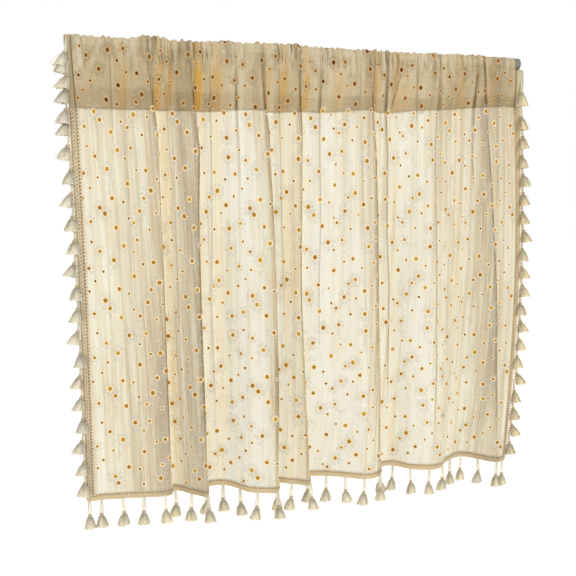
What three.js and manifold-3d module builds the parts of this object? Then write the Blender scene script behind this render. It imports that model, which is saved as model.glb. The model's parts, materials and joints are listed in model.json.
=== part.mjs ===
// A short sheer curtain, gathered on a round tension rod through a deep rod pocket, with a
// tasselled braid down both sides and along the hem. Millimetres, +Z up, +X along the rod,
// the front faces -Y. The origin is the middle of the flat end of the left rod cap.
import * as THREE from 'three';
import { mergeVertices } from 'three/addons/utils/BufferGeometryUtils.js';
import Module from 'manifold-3d';

// ---- Driving dimensions ----
const SPAN = 732; // rod, from the flat end of one cap to the flat end of the other
const ROD_RADIUS = 8;
const ROD_SIDES = 32;
const CAP = { radius: 10, length: 13, base: 3, rim: 1.2 };
const GAP = 0.3; // running clearance between pieces that touch
const POCKET_END = SPAN - CAP.length - 2; // the pocket stops short of the right cap
const UNDER_CAP = -CAP.radius - 1; // and what hangs beyond its end starts under the cap

const CLOTH = 1.2; // thickness of the gauze sheet
const POCKET_RADIUS = 9.6; // middle of the sheet where it rides over the rod
const CAP_POCKET_RADIUS = 12; // the same where it rides over a cap
const GATHER = 3.2; // height of the gathers on the rod
const HEM_LEFT_Z = -696; // lower edge of the cloth at its left and right corner
const HEM_RIGHT_Z = -703;

// The braid's clearance from the cloth narrows to about GAP where the cloth turns sharply.
const BRAID = { width: 11, thickness: 1.6, clearance: 0.5 };
const BRAID_DEPTH = CLOTH / 2 + BRAID.clearance; // from the middle of the cloth to its back
const TASSEL = {
  cordLength: { left: 19, bottom: 23, right: 19 }, // shorter where the braid hides them
  cordRadius: 0.8,
  skirtLength: 24,
  headRadius: 3,
  hemRadius: 7.6,
  flatness: 0.62, // depth of a skirt over its width
  sides: 5,
};
const evenly = (first, pitch, count) => Array.from({ length: count }, (_, k) => first + k * pitch);
// Places of the tassels, from the upper end, or the left end, of a braid. The heading is
// folded to the front with its braid, so the left braid carries more tassels there.
const TASSEL_PLACES = {
  left: [1, 10, 32, 52, 80, ...evenly(97.7, 34.5, 17)],
  bottom: [4, ...evenly(22.5, 33.2, 29), 965],
  right: [33, ...evenly(73, 32.4, 19)],
};
const CORD_TILT = { left: 0.12, bottom: 0, right: -0.1 }; // radians that cords lean to the left
const SKIRT_TILT = { left: 0.36, bottom: 0, right: -0.26 }; // and that skirts do
const SIDE_FORWARD = 0.12; // and towards the room
const SWAY = 0.05; // radians that tassels differ by

// One row for each line that the cloth is folded on, from the left edge to the right one.
// rodX, seamX and hemX are its place along the rod at the rod, at the pocket's seam and at
// the hem. seamY and hemY are its depth there (negative is nearer the room). seamZ is the
// height of the seam.
const FOLD_LINES = [
  { line: 'left edge', rodX: -2, seamX: 1, hemX: 3, seamY: -1, hemY: 0, seamZ: -92 },
  { line: 'left braid', rodX: 9, seamX: 12, hemX: 14, seamY: -1, hemY: 0, seamZ: -92 },
  { line: 'panel 1', rodX: 66, seamX: 66, hemX: 69, seamY: 1, hemY: -1, seamZ: -92 },
  { line: 'fold 1', rodX: 121, seamX: 123, hemX: 134, seamY: -5, hemY: -6, seamZ: -92 },
  { line: 'behind 1', rodX: 128, seamX: 129, hemX: 139, seamY: 4, hemY: 12, seamZ: -92 },
  { line: 'panel 2', rodX: 139, seamX: 140, hemX: 151, seamY: 3, hemY: 7, seamZ: -92 },
  { line: 'fold 2', rodX: 184, seamX: 185, hemX: 188, seamY: -6, hemY: -28, seamZ: -92 },
  { line: 'behind 2', rodX: 192, seamX: 192, hemX: 194.5, seamY: 4, hemY: 14, seamZ: -92 },
  { line: 'panel 3', rodX: 218, seamX: 219, hemX: 222, seamY: 3, hemY: 12, seamZ: -91 },
  { line: 'rise 3', rodX: 254, seamX: 258, hemX: 264, seamY: -3, hemY: -26, seamZ: -88 },
  { line: 'fold 3', rodX: 290, seamX: 293, hemX: 303, seamY: -7, hemY: -36, seamZ: -89 },
  { line: 'behind 3', rodX: 299, seamX: 301, hemX: 311, seamY: 3, hemY: 2, seamZ: -90 },
  { line: 'fold 4', rodX: 347, seamX: 349, hemX: 360.5, seamY: -5, hemY: -20, seamZ: -89 },
  { line: 'behind 4', rodX: 356, seamX: 357, hemX: 368.5, seamY: 4, hemY: 15, seamZ: -88 },
  { line: 'panel 5', rodX: 395, seamX: 398, hemX: 405, seamY: 2, hemY: 9, seamZ: -88 },
  { line: 'rise 5', rodX: 436, seamX: 440, hemX: 460, seamY: -2, hemY: -16, seamZ: -84 },
  { line: 'fold 5', rodX: 467, seamX: 471, hemX: 491.5, seamY: -5, hemY: -11, seamZ: -83 },
  { line: 'behind 5', rodX: 478, seamX: 482, hemX: 506, seamY: 5, hemY: 26, seamZ: -85 },
  { line: 'panel 6', rodX: 505, seamX: 508, hemX: 529, seamY: 5, hemY: 30, seamZ: -85 },
  { line: 'rise 6', rodX: 538, seamX: 542, hemX: 558, seamY: 0, hemY: 5, seamZ: -82 },
  { line: 'fold 6', rodX: 579, seamX: 584, hemX: 602, seamY: -3, hemY: -3, seamZ: -79 },
  { line: 'slope 6', rodX: 608, seamX: 613, hemX: 636, seamY: 2, hemY: 22, seamZ: -77 },
  { line: 'behind 6', rodX: 630, seamX: 640, hemX: 674, seamY: 5, hemY: 42, seamZ: -74 },
  { line: 'rise 7', rodX: 651, seamX: 661, hemX: 704, seamY: 0, hemY: 18, seamZ: -73 },
  { line: 'fold 7', rodX: 669, seamX: 677, hemX: 725, seamY: -5, hemY: 0, seamZ: -72 },
  { line: 'right braid', rodX: 724, seamX: 728.5, hemX: 736.5, seamY: 1, hemY: 3, seamZ: -70 },
  { line: 'right edge', rodX: 735, seamX: 739.5, hemX: 745.5, seamY: 1, hemY: 9, seamZ: -70 },
];
const STEPS_PER_PANEL = 3;
// The right edge bows outwards between the seam and the hem by this much.
const RIGHT_BOW = 9.5;

// Heights between the hem (0) and the seam (1) where the single sheet has a row.
const SHEET_ROWS = [0.25, 0.5, 0.75];
const TOP_SHEET_ROW = 0.99;
// Turns of the pocket over the rod, in degrees from the front.
const ROD_ROWS = [0, 45, 90, 135, 180];
// Heights between the seam (0) and the rod (1) where each wall of the pocket has a row.
const POCKET_ROWS = [0.3, 0.7];

const wasm = await Module();
wasm.setup();

// ---- Small helpers ----
const lerp = THREE.MathUtils.lerp;
const vec = (x, y, z) => new THREE.Vector3(x, y, z);

function indexed(vertices, faces) {
  const geometry = new THREE.BufferGeometry();
  const flat = vertices.flatMap((v) => [v.x, v.y, v.z]);
  geometry.setAttribute('position', new THREE.Float32BufferAttribute(flat, 3));
  geometry.setIndex(faces.flat());
  return geometry;
}

function toManifold(geometry) {
  const bare = geometry.clone();
  bare.deleteAttribute('normal');
  bare.deleteAttribute('uv');
  const merged = mergeVertices(bare, 1e-4);
  return new wasm.Manifold(
    new wasm.Mesh({
      numProp: 3,
      vertProperties: new Float32Array(merged.attributes.position.array),
      triVerts: new Uint32Array(merged.index.array),
    }),
  );
}

function toGeometry(manifold) {
  const mesh = manifold.getMesh();
  const geometry = new THREE.BufferGeometry();
  geometry.setAttribute('position', new THREE.BufferAttribute(mesh.vertProperties, 3));
  geometry.setIndex(new THREE.BufferAttribute(mesh.triVerts, 1));
  return geometry;
}

// Takes away what would lie over the right cap.
function clearOfCap(manifold) {
  const side = 80;
  const block = new THREE.BoxGeometry(side, side, side);
  block.translate(POCKET_END + side / 2, 0, UNDER_CAP + side / 2);
  return manifold.subtract(toManifold(block));
}

// ---- The folded surface ----
// The fold lines cut the surface into panels. A station is a place between two of them.
const stations = [];
FOLD_LINES.slice(0, -1).forEach((_, i) => {
  const steps = i === 0 || i === FOLD_LINES.length - 2 ? 1 : STEPS_PER_PANEL;
  for (let k = 0; k < steps; k += 1) stations.push(i + k / steps);
});
stations.push(FOLD_LINES.length - 1);

// A smooth plan through one point for each fold line.
function planCurve(pointOf) {
  return new THREE.CatmullRomCurve3(FOLD_LINES.map(pointOf), false, 'centripetal');
}
const rodPlan = planCurve((f) => vec(f.rodX, 0, 0));
const seamPlan = planCurve((f) => vec(f.seamX, f.seamY, f.seamZ));
const hemPlan = planCurve((f) => vec(f.hemX, f.hemY, lerp(HEM_LEFT_Z, HEM_RIGHT_Z, f.hemX / SPAN)));
const onPlan = (plan, station) => plan.getPoint(station / (FOLD_LINES.length - 1));

// Radius of the pocket's turn over the rod: it clears the caps at the ends, and the gathers
// stand up between them.
function turnRadius(station) {
  const x = onPlan(rodPlan, station).x;
  if (x < CAP.length + CAP.radius) return CAP_POCKET_RADIUS;
  const beat = 0.5 + 0.5 * Math.cos(station * Math.PI * 1.5); // a gather every 4/3 panels
  const swell = 0.7 + 0.3 * Math.sin(station * 1.3); // and no two gathers alike
  return POCKET_RADIUS + GATHER * beat * swell;
}

// Middle of the sheet between the hem (height 0) and the seam (height 1).
function sheetPoint(station, height) {
  const seam = onPlan(seamPlan, station);
  const hem = onPlan(hemPlan, station);
  const point = hem.clone().lerp(seam, height);
  const share = station / (FOLD_LINES.length - 1);
  point.x += RIGHT_BOW * share ** 6 * Math.sin(Math.PI * height);
  return point;
}

// Middle of one wall of the pocket between the seam (height 0) and the rod (height 1). The
// back wall joins the front one at the seam, one thickness behind it.
function wallPoint(station, height, side) {
  const seam = onPlan(seamPlan, station);
  if (side > 0) seam.y += CLOTH;
  const rod = onPlan(rodPlan, station);
  rod.y = side * turnRadius(station);
  const ease = Math.sin((height * Math.PI) / 2);
  return vec(lerp(seam.x, rod.x, height), lerp(seam.y, rod.y, ease), lerp(seam.z, rod.z, height));
}

function turnPoint(station, degrees) {
  const angle = THREE.MathUtils.degToRad(degrees);
  const point = onPlan(rodPlan, station);
  point.y = -Math.cos(angle) * turnRadius(station);
  point.z = Math.sin(angle) * turnRadius(station);
  return point;
}

// Height of the bottom braid's upper edge, as a share of the way from the hem to the seam.
const braidHeight = (station) => {
  const drop = onPlan(seamPlan, station).z - onPlan(hemPlan, station).z;
  return BRAID.width / drop;
};

// Rows of the sheet, from the hem up to the seam, and of the pocket, from the seam over the
// rod and down again to it. Each row is one point for each station.
const rowOf = (pointAt) => stations.map(pointAt);
const sheetRows = [
  rowOf((s) => sheetPoint(s, 0)),
  rowOf((s) => sheetPoint(s, braidHeight(s))),
  ...SHEET_ROWS.map((h) => rowOf((s) => sheetPoint(s, h))),
  rowOf((s) => sheetPoint(s, TOP_SHEET_ROW)),
];
const pocketRows = [
  rowOf((s) => wallPoint(s, 0, -1)),
  ...POCKET_ROWS.map((h) => rowOf((s) => wallPoint(s, h, -1))),
  ...ROD_ROWS.map((a) => rowOf((s) => turnPoint(s, a))),
  ...POCKET_ROWS.toReversed().map((h) => rowOf((s) => wallPoint(s, h, 1))),
  rowOf((s) => wallPoint(s, 0, 1)),
];

// Unit normals of a strip of rows, pointing to the room where the rows run upwards.
function normalsOf(rows) {
  return rows.map((row, j) =>
    row.map((_, i) => {
      const along = row[Math.min(i + 1, row.length - 1)].clone().sub(row[Math.max(i - 1, 0)]);
      const above = rows[Math.min(j + 1, rows.length - 1)][i];
      const below = rows[Math.max(j - 1, 0)][i];
      return along.cross(above.clone().sub(below)).normalize();
    }),
  );
}

function offset(rows, normals, distance) {
  return rows.map((row, j) => row.map((p, i) => p.clone().addScaledVector(normals[j][i], distance)));
}

// ---- The cloth: one sheet with its pocket ----
function clothGeometry() {
  const sheetNormals = normalsOf(sheetRows);
  const pocketNormals = normalsOf(pocketRows);
  const front = offset(sheetRows, sheetNormals, CLOTH / 2);
  const back = offset(sheetRows, sheetNormals, -CLOTH / 2);
  const outer = offset(pocketRows, pocketNormals, CLOTH / 2);
  const inner = offset(pocketRows, pocketNormals, -CLOTH / 2);
  // The seam shuts the pocket: there the inner faces of the two walls meet in one line.
  const last = inner.length - 1;
  inner[0] = inner[0].map((p, i) => p.clone().lerp(inner[last][i], 0.5).setZ(p.z + CLOTH));
  inner.pop();

  const outline = [...front, ...outer, ...back.toReversed()];
  const count = stations.length;
  const vertices = [...outline, ...inner].flat();
  const at = (row, i) => row * count + i;
  const faces = [];
  const quad = (a, b, c, d) => faces.push([a, b, c], [a, c, d]);

  const loft = (first, size, flip) => {
    for (let r = 0; r < size; r += 1) {
      const next = first + ((r + 1) % size);
      for (let i = 0; i < count - 1; i += 1) {
        const corners = [at(first + r, i), at(first + r, i + 1), at(next, i + 1), at(next, i)];
        quad(...(flip ? corners.toReversed() : corners));
      }
    }
  };
  loft(0, outline.length, false);
  loft(outline.length, inner.length, true);

  // The two side edges: the cut through the sheet and through the pocket's walls.
  const edge = (i, flip) => {
    const put = (...corners) => faces.push(flip ? corners.toReversed() : corners);
    const total = outline.length;
    for (let r = 0; r < front.length - 1; r += 1) {
      const [a, b] = [at(r, i), at(r + 1, i)];
      const [c, d] = [at(total - 2 - r, i), at(total - 1 - r, i)];
      put(a, b, c);
      put(a, c, d);
    }
    const topFront = front.length - 1;
    const wall = front.length;
    const wallEnd = wall + outer.length - 1;
    const hollow = (k) => at(total + (k % inner.length), i);
    for (let k = 0; k < outer.length - 1; k += 1) {
      put(at(wall + k, i), at(wall + k + 1, i), hollow(k + 1));
      put(at(wall + k, i), hollow(k + 1), hollow(k));
    }
    put(at(topFront, i), at(wall, i), hollow(0));
    put(at(topFront, i), hollow(0), at(wallEnd + 1, i));
    put(at(wallEnd, i), at(wallEnd + 1, i), hollow(0));
  };
  edge(0, false);
  edge(count - 1, true);
  return indexed(vertices, faces);
}

// ---- The braid and its tassels ----
// A flat strip on the front of the cloth, between two rows or two columns of its grid. Its
// quads are split as those of the cloth behind it are, so that the two stay parallel.
function stripGeometry(grid, normals, upright) {
  const near = offset(grid, normals, BRAID_DEPTH);
  const far = offset(grid, normals, BRAID_DEPTH + BRAID.thickness);
  const ring = [near[0], near[1], far[1], far[0]];
  const count = grid[0].length;
  const at = (row, i) => (row % 4) * count + i;
  const faces = [];
  for (let r = 0; r < 4; r += 1) {
    for (let i = 0; i < count - 1; i += 1) {
      const [a, b, c, d] = [at(r, i), at(r + 1, i), at(r + 1, i + 1), at(r, i + 1)];
      if (upright) faces.push([a, b, d], [b, c, d]);
      else faces.push([a, b, c], [a, c, d]);
    }
  }
  faces.push([at(0, 0), at(3, 0), at(2, 0)], [at(0, 0), at(2, 0), at(1, 0)]);
  const end = count - 1;
  faces.push([at(0, end), at(1, end), at(2, end)], [at(0, end), at(2, end), at(3, end)]);
  return indexed(ring.flat(), faces);
}

// One tassel that hangs from the origin along -Z: a cord, sunk a little into the braid above
// it, that widens to a flattened skirt. The skirt is tilted against the cord by lean.
function tasselGeometry(lean, cordLength) {
  const { cordRadius, skirtLength, headRadius, hemRadius } = TASSEL;
  const profile = [
    new THREE.Vector2(0, -cordLength - skirtLength),
    new THREE.Vector2(hemRadius, -cordLength - skirtLength),
    new THREE.Vector2(headRadius, -cordLength),
    new THREE.Vector2(cordRadius, -cordLength),
    new THREE.Vector2(cordRadius, cordRadius),
    new THREE.Vector2(0, cordRadius),
  ];
  const tassel = new THREE.LatheGeometry(profile, TASSEL.sides);
  tassel.rotateX(Math.PI / 2);
  tassel.scale(1, TASSEL.flatness, 1);
  const place = tassel.getAttribute('position');
  for (let i = 0; i < place.count; i += 1) {
    const [x, below] = [place.getX(i), place.getZ(i) + cordLength];
    if (below > 0.01) continue;
    place.setX(i, x * Math.cos(lean) + below * Math.sin(lean));
    place.setZ(i, below * Math.cos(lean) - x * Math.sin(lean) - cordLength);
  }
  return tassel;
}

// Tassels hung along a line of points on one side of the cloth, each turned by its own small
// amount.
function hangTassels(body, line, side) {
  const curve = new THREE.CurvePath();
  line.slice(1).forEach((p, i) => curve.add(new THREE.LineCurve3(line[i], p)));
  const length = curve.getLength();
  let comb = body;
  TASSEL_PLACES[side].forEach((along, k) => {
    const place = curve.getPointAt(along / length);
    const tassel = tasselGeometry(SKIRT_TILT[side] - CORD_TILT[side], TASSEL.cordLength[side]);
    tassel.rotateY(CORD_TILT[side] + SWAY * Math.sin(k * 2.4));
    if (side !== 'bottom') tassel.rotateX(-SIDE_FORWARD);
    tassel.translate(place.x, place.y, place.z);
    comb = comb.add(toManifold(tassel));
  });
  return comb;
}

function bottomTrim() {
  const grid = sheetRows.slice(0, 2);
  const normals = normalsOf(sheetRows).slice(0, 2);
  const strip = toManifold(stripGeometry(grid, normals, false));
  const lower = offset(grid, normals, BRAID_DEPTH + BRAID.thickness / 2)[0];
  const line = lower.map((p) => p.clone().setZ(p.z + 1));
  return hangTassels(strip, line, 'bottom');
}

// The side braids run from 45 degrees above the front of the rod down to the bottom braid,
// which they butt.
function sideTrim(isLeft) {
  const columns = isLeft ? [0, 1] : [stations.length - 2, stations.length - 1];
  const pocketPart = POCKET_ROWS.length + 3;
  // The sheet's highest row lies just under the seam, where the pocket has a row already.
  const downwards = (rowsOfPocket, rowsOfSheet) => [
    ...rowsOfPocket.slice(0, pocketPart).toReversed(),
    ...rowsOfSheet.slice(1, -1).toReversed(),
  ];
  const rows = downwards(pocketRows, sheetRows);
  const rowNormals = downwards(normalsOf(pocketRows), normalsOf(sheetRows));
  const grid = columns.map((c) => rows.map((row) => row[c].clone()));
  const normals = columns.map((c) => rowNormals.map((row) => row[c]));
  grid.forEach((column) => {
    column[column.length - 1].z += GAP;
  });
  const strip = toManifold(stripGeometry(grid, normals, true));
  const edges = offset(grid, normals, BRAID_DEPTH + BRAID.thickness / 2);
  if (!isLeft) edges.reverse();
  const line = edges[0].slice(1).map((p, i) => p.clone().lerp(edges[1][i + 1], 0.1));
  const side = isLeft ? 'left' : 'right';
  const body = isLeft ? strip : clearOfCap(strip);
  return hangTassels(body, line, side);
}

// ---- The rod and its caps ----
function rodGeometry() {
  const length = SPAN - 2 * (CAP.base + GAP);
  const rod = new THREE.CylinderGeometry(ROD_RADIUS, ROD_RADIUS, length, ROD_SIDES);
  rod.rotateZ(Math.PI / 2);
  return rod;
}

// A cup with its flat end at x = 0 and its mouth towards +X.
function capGeometry() {
  const { radius, length, base, rim } = CAP;
  const bore = ROD_RADIUS + GAP;
  const profile = [new THREE.Vector2(0, 0), new THREE.Vector2(radius - rim, 0)];
  const arcSteps = 4;
  for (let k = 1; k <= arcSteps; k += 1) {
    const angle = (k / arcSteps) * (Math.PI / 2);
    profile.push(
      new THREE.Vector2(radius - rim + rim * Math.sin(angle), rim - rim * Math.cos(angle)),
    );
  }
  profile.push(new THREE.Vector2(radius, length));
  profile.push(new THREE.Vector2(bore, length));
  profile.push(new THREE.Vector2(bore, base));
  profile.push(new THREE.Vector2(0, base));
  const cap = new THREE.LatheGeometry(profile, ROD_SIDES);
  cap.rotateZ(-Math.PI / 2);
  return cap;
}

// ---- Assembly ----
const finish = (color, roughness, metalness = 0) =>
  new THREE.MeshStandardMaterial({ color, roughness, metalness });
const gauze = finish(0xe8e0c4, 0.95);
const braidCotton = finish(0xc9b28c, 0.9);
const enamel = finish(0xe9e7e0, 0.4);
const rubber = finish(0x93a2a8, 0.7);

const valance = new THREE.Group();
function addPiece(name, geometry, material, parent = valance) {
  const mesh = new THREE.Mesh(geometry, material);
  mesh.name = name;
  parent.add(mesh);
  return mesh;
}

const rod = addPiece('rod', rodGeometry(), enamel);
rod.position.set(SPAN / 2, 0, 0);
addPiece('rod_cap_left', capGeometry(), rubber);
const farEnd = new THREE.Group();
farEnd.position.set(SPAN, 0, 0);
farEnd.rotation.set(0, 0, Math.PI);
valance.add(farEnd);
addPiece('rod_cap_right', capGeometry(), rubber, farEnd);

addPiece('valance_cloth', toGeometry(clearOfCap(toManifold(clothGeometry()))), gauze);
addPiece('trim_left', toGeometry(sideTrim(true)), braidCotton);
addPiece('trim_bottom', toGeometry(bottomTrim()), braidCotton);
addPiece('trim_right', toGeometry(sideTrim(false)), braidCotton);

export default valance;
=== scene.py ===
"""Looks for a short sheer curtain on a tension rod: embroidered gauze, braid and tassels.

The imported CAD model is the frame. The rod and its caps keep their CAD meshes and take real
finishes. The cloth and its three trims are stood for by fine meshes on the same folds.
Lengths are in millimetres until a mesh is made. +X runs along the rod, -Y faces the room.
"""

import json
import logging
import math
from dataclasses import dataclass, field, replace
from enum import Enum
from functools import partial
from typing import Callable

import bpy
import numpy as np
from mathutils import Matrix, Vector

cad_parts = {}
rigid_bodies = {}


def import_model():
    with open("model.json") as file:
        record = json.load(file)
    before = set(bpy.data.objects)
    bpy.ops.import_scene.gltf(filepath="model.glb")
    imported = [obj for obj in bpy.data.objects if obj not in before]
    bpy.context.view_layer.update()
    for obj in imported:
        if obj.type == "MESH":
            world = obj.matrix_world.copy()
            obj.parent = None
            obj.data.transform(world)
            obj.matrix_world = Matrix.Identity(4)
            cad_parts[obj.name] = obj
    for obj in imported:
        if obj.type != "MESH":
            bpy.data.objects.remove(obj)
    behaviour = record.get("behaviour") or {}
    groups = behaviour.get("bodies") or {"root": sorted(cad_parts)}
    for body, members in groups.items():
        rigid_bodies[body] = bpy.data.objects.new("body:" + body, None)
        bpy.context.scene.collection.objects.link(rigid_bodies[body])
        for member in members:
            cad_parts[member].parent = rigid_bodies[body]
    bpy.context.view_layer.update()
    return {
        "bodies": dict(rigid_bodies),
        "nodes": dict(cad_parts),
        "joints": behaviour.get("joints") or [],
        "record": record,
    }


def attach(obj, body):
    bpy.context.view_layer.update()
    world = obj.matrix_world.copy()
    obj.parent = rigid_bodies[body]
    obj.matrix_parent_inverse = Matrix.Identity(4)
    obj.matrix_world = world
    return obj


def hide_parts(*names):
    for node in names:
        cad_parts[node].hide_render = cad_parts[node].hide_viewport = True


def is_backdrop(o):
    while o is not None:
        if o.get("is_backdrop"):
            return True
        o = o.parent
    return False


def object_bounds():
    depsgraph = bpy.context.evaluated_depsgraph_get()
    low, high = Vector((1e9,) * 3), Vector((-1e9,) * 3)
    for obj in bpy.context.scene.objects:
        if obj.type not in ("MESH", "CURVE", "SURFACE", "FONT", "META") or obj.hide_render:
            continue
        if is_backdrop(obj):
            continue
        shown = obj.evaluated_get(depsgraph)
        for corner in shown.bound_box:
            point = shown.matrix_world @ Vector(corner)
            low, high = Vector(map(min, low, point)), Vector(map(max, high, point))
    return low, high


# Short names for the types that come again and again.
Array = np.ndarray
Pair = tuple[float, float]
Triple = tuple[float, float, float]

LOG = logging.getLogger("sheer_valance")
MM = 0.001


# ---------------------------------------------------------------- small helpers


def linear(colour: str) -> tuple[float, float, float, float]:
    """Turns an sRGB hex colour to linear RGBA.

    Args:
        colour: Six hex digits after a hash.

    Returns:
        Red, green, blue and alpha, linear.
    """
    parts = [int(colour[i:i + 2], 16) / 255 for i in (1, 3, 5)]
    flat = [c / 12.92 if c <= 0.04045 else ((c + 0.055) / 1.055) ** 2.4 for c in parts]
    return flat[0], flat[1], flat[2], 1.0


def dye_of(colour: str) -> Array:
    """Linear red, green and blue of an sRGB hex colour."""
    return np.array(linear(colour)[:3])


def add_node(
    tree: bpy.types.NodeTree, kind: str, inputs: dict | None = None,
    stops: tuple[tuple[float, str], ...] = (), out: int | str = 0, **settings: object,
) -> bpy.types.NodeSocket | None:
    """Adds one shader node with its settings and links.

    Args:
        tree: The node tree that it joins.
        kind: The node's Blender type, without the word ShaderNode in front.
        inputs: For each input, by name or index, a value or the socket that feeds it.
        stops: For a colour ramp, the position and hex colour of each stop, in order.
        out: The output that is wanted, by name or index.
        settings: The node's own properties.

    Returns:
        That output of the new node, if it has any.
    """
    node = tree.nodes.new(f"ShaderNode{kind}")
    for name, value in settings.items():
        setattr(node, name, value)
    for key, value in (inputs or {}).items():
        if isinstance(value, bpy.types.NodeSocket):
            tree.links.new(value, node.inputs[key])
        else:
            node.inputs[key].default_value = value
    while len(stops) > 2 and len(node.color_ramp.elements) < len(stops):
        node.color_ramp.elements.new(0.5)
    for index, (position, colour) in enumerate(stops):
        node.color_ramp.elements[index].position = position
        node.color_ramp.elements[index].color = linear(colour)
    return node.outputs[out] if node.outputs else None


def blank_material(name: str) -> tuple[bpy.types.Material, Callable]:
    """Makes a material with an empty node tree.

    Args:
        name: The material's name.

    Returns:
        The material, and add_node for its tree.
    """
    material = bpy.data.materials.new(name)
    material.use_nodes = True
    material.node_tree.nodes.clear()
    return material, partial(add_node, material.node_tree)


def streaks(
    add: Callable, coords: bpy.types.NodeSocket, size: Pair, detail: float = 2.0,
    offset: float = 0.0,
) -> bpy.types.NodeSocket:
    """Adds noise that is stretched along the cloth.

    Args:
        add: The function that adds a node.
        coords: Cloth coordinates in millimetres.
        size: Size of the noise across the cloth and up it, in millimetres.
        detail: Octaves of the noise.
        offset: Shift of the pattern, so that no two are alike.

    Returns:
        The noise's factor socket.
    """
    place = add("Mapping", {
        "Vector": coords,
        "Location": (offset, offset * 0.7, offset),
        "Scale": (1 / size[0], 1 / size[1], 1.0),
    })
    return add("TexNoise", {"Vector": place, "Scale": 1.0, "Detail": detail, "Roughness": 0.55})


class SmoothNoise:
    """Seeded value noise on a lattice, from -1 to 1, for arrays of any shape."""

    SIZE = 251

    def __init__(self, seed: int) -> None:
        """Fills the lattice.

        Args:
            seed: The same seed gives the same noise.
        """
        self.table = np.random.default_rng(seed).uniform(-1, 1, (self.SIZE, self.SIZE))

    def __call__(self, x: Array, y: Array | float = 0.0) -> Array:
        """Samples the noise.

        Args:
            x: Places along the first axis, in lattice steps.
            y: Places along the second axis.

        Returns:
            One value for each place.
        """
        x, y = np.broadcast_arrays(np.asarray(x, float), np.asarray(y, float))
        i, j = np.floor(x).astype(int), np.floor(y).astype(int)
        s, t = x - i, y - j
        s, t = s * s * (3 - 2 * s), t * t * (3 - 2 * t)
        size = self.SIZE
        row, next_row = self.table[i % size], self.table[(i + 1) % size]
        take = np.take_along_axis
        j0, j1 = (j % size)[..., None], ((j + 1) % size)[..., None]
        low = take(row, j0, -1)[..., 0] * (1 - s) + take(next_row, j0, -1)[..., 0] * s
        high = take(row, j1, -1)[..., 0] * (1 - s) + take(next_row, j1, -1)[..., 0] * s
        return low * (1 - t) + high * t


def smooth_step(low: float, high: float, x: Array) -> Array:
    """A soft step from 0 at low to 1 at high, for each x."""
    t = np.clip((x - low) / (high - low), 0, 1)
    return t * t * (3 - 2 * t)


@dataclass
class MeshDraft:
    """Points, faces and colours of one piece, painted shade included, gathered shape by shape."""

    points: list[Array] = field(default_factory=list)
    faces: list[Array] = field(default_factory=list)
    values: dict[str, list[Array]] = field(default_factory=dict)
    count: int = 0

    def add(self, points: Array, *faces: Array, dye: Array) -> None:
        """Adds one shape.

        Args:
            points: Its points, a row each.
            faces: Its faces, as rows of indices into points. Quads and triangles come apart.
            dye: Its linear colour with any painted shade, one for the shape or one for each point.
        """
        self.points.append(points)
        self.faces.extend(block + self.count for block in faces)
        self.values.setdefault("dye", []).append(np.broadcast_to(dye, (len(points), 3)))
        self.count += len(points)

    def lay(
        self, path: Array, lift: Array | float, width: float, section: Array, dye: Array,
        closed: bool = False, turned: bool = False,
    ) -> None:
        """Adds a thread that lies on cloth, in cloth coordinates.

        Args:
            path: Its line, as places across and along the cloth.
            lift: Height of its middle above the cloth, one for all or one for each point.
            width: Its width.
            section: Its section, in widths. One of three points is open underneath.
            dye: Its linear colour with any painted shade, one for the thread or one for each point.
            closed: True if it joins its own start.
            turned: True if its faces are turned over.
        """
        if closed:
            step = np.roll(path, -1, 0) - np.roll(path, 1, 0)
        else:
            step = np.gradient(path, axis=0)
        step = step / np.maximum(np.linalg.norm(step, axis=1, keepdims=True), 1e-9)
        side = np.stack([-step[:, 1], step[:, 0]], 1)
        flat = path[:, None] + side[:, None] * (section[None, :, :1] * width)
        up = np.broadcast_to(lift, len(path))[:, None, None] + section[None, :, 1:] * width
        points = np.concatenate([flat, np.broadcast_to(up, flat.shape[:2] + (1,))], -1)
        faces = ring_faces(len(path), len(section), closed)
        if len(section) == 3:
            faces = faces.reshape(-1, 3, 4)[:, :-1].reshape(-1, 4)
        self.add(points.reshape(-1, 3), faces[:, ::-1] if turned else faces, dye=dye)

    def move(self, place: Callable[[Array], Array]) -> "MeshDraft":
        """Passes all points through a mapping and returns the draft."""
        self.points = [place(np.concatenate(self.points))]
        return self

    def to_object(self, name: str, material: bpy.types.Material) -> bpy.types.Object:
        """Makes the mesh object, in metres.

        Args:
            name: Name of the piece.
            material: Its finish.

        Returns:
            The object, linked to the scene and riding on the root body.
        """
        mesh = bpy.data.meshes.new(name)
        corners = np.concatenate(self.points) * MM
        mesh.from_pydata(corners.tolist(), [], [f for block in self.faces for f in block.tolist()])
        mesh.polygons.foreach_set("use_smooth", np.ones(len(mesh.polygons), bool))
        for key, blocks in self.values.items():
            rows = np.concatenate(blocks).astype(np.float32)
            kind, prop = ("FLOAT", "value") if rows.ndim == 1 else ("FLOAT_VECTOR", "vector")
            mesh.attributes.new(key, kind, "POINT").data.foreach_set(prop, rows.ravel())
        mesh.materials.append(material)
        mesh.update()
        piece = bpy.data.objects.new(name, mesh)
        bpy.context.scene.collection.objects.link(piece)
        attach(piece, "root")
        return piece


def ring_faces(rings: int, sides: int, closed: bool = False) -> Array:
    """Quads that join rings of points, each ring closed on itself.

    Args:
        rings: Number of rings.
        sides: Points in a ring.
        closed: True if the last ring joins the first.

    Returns:
        The quads, as rows of indices.
    """
    r, k = np.meshgrid(np.arange(rings if closed else rings - 1), np.arange(sides), indexing="ij")
    after, turn = (r + 1) % rings, (k + 1) % sides
    quads = np.stack([r * sides + k, r * sides + turn, after * sides + turn, after * sides + k], -1)
    return quads.reshape(-1, 4)


def grid_faces(rows: int, columns: int) -> Array:
    """Quads of a grid of points that is stored row by row."""
    first = np.arange(rows - 1)[:, None] * columns + np.arange(columns - 1)
    return np.stack([first, first + 1, first + columns + 1, first + columns], -1).reshape(-1, 4)


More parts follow.
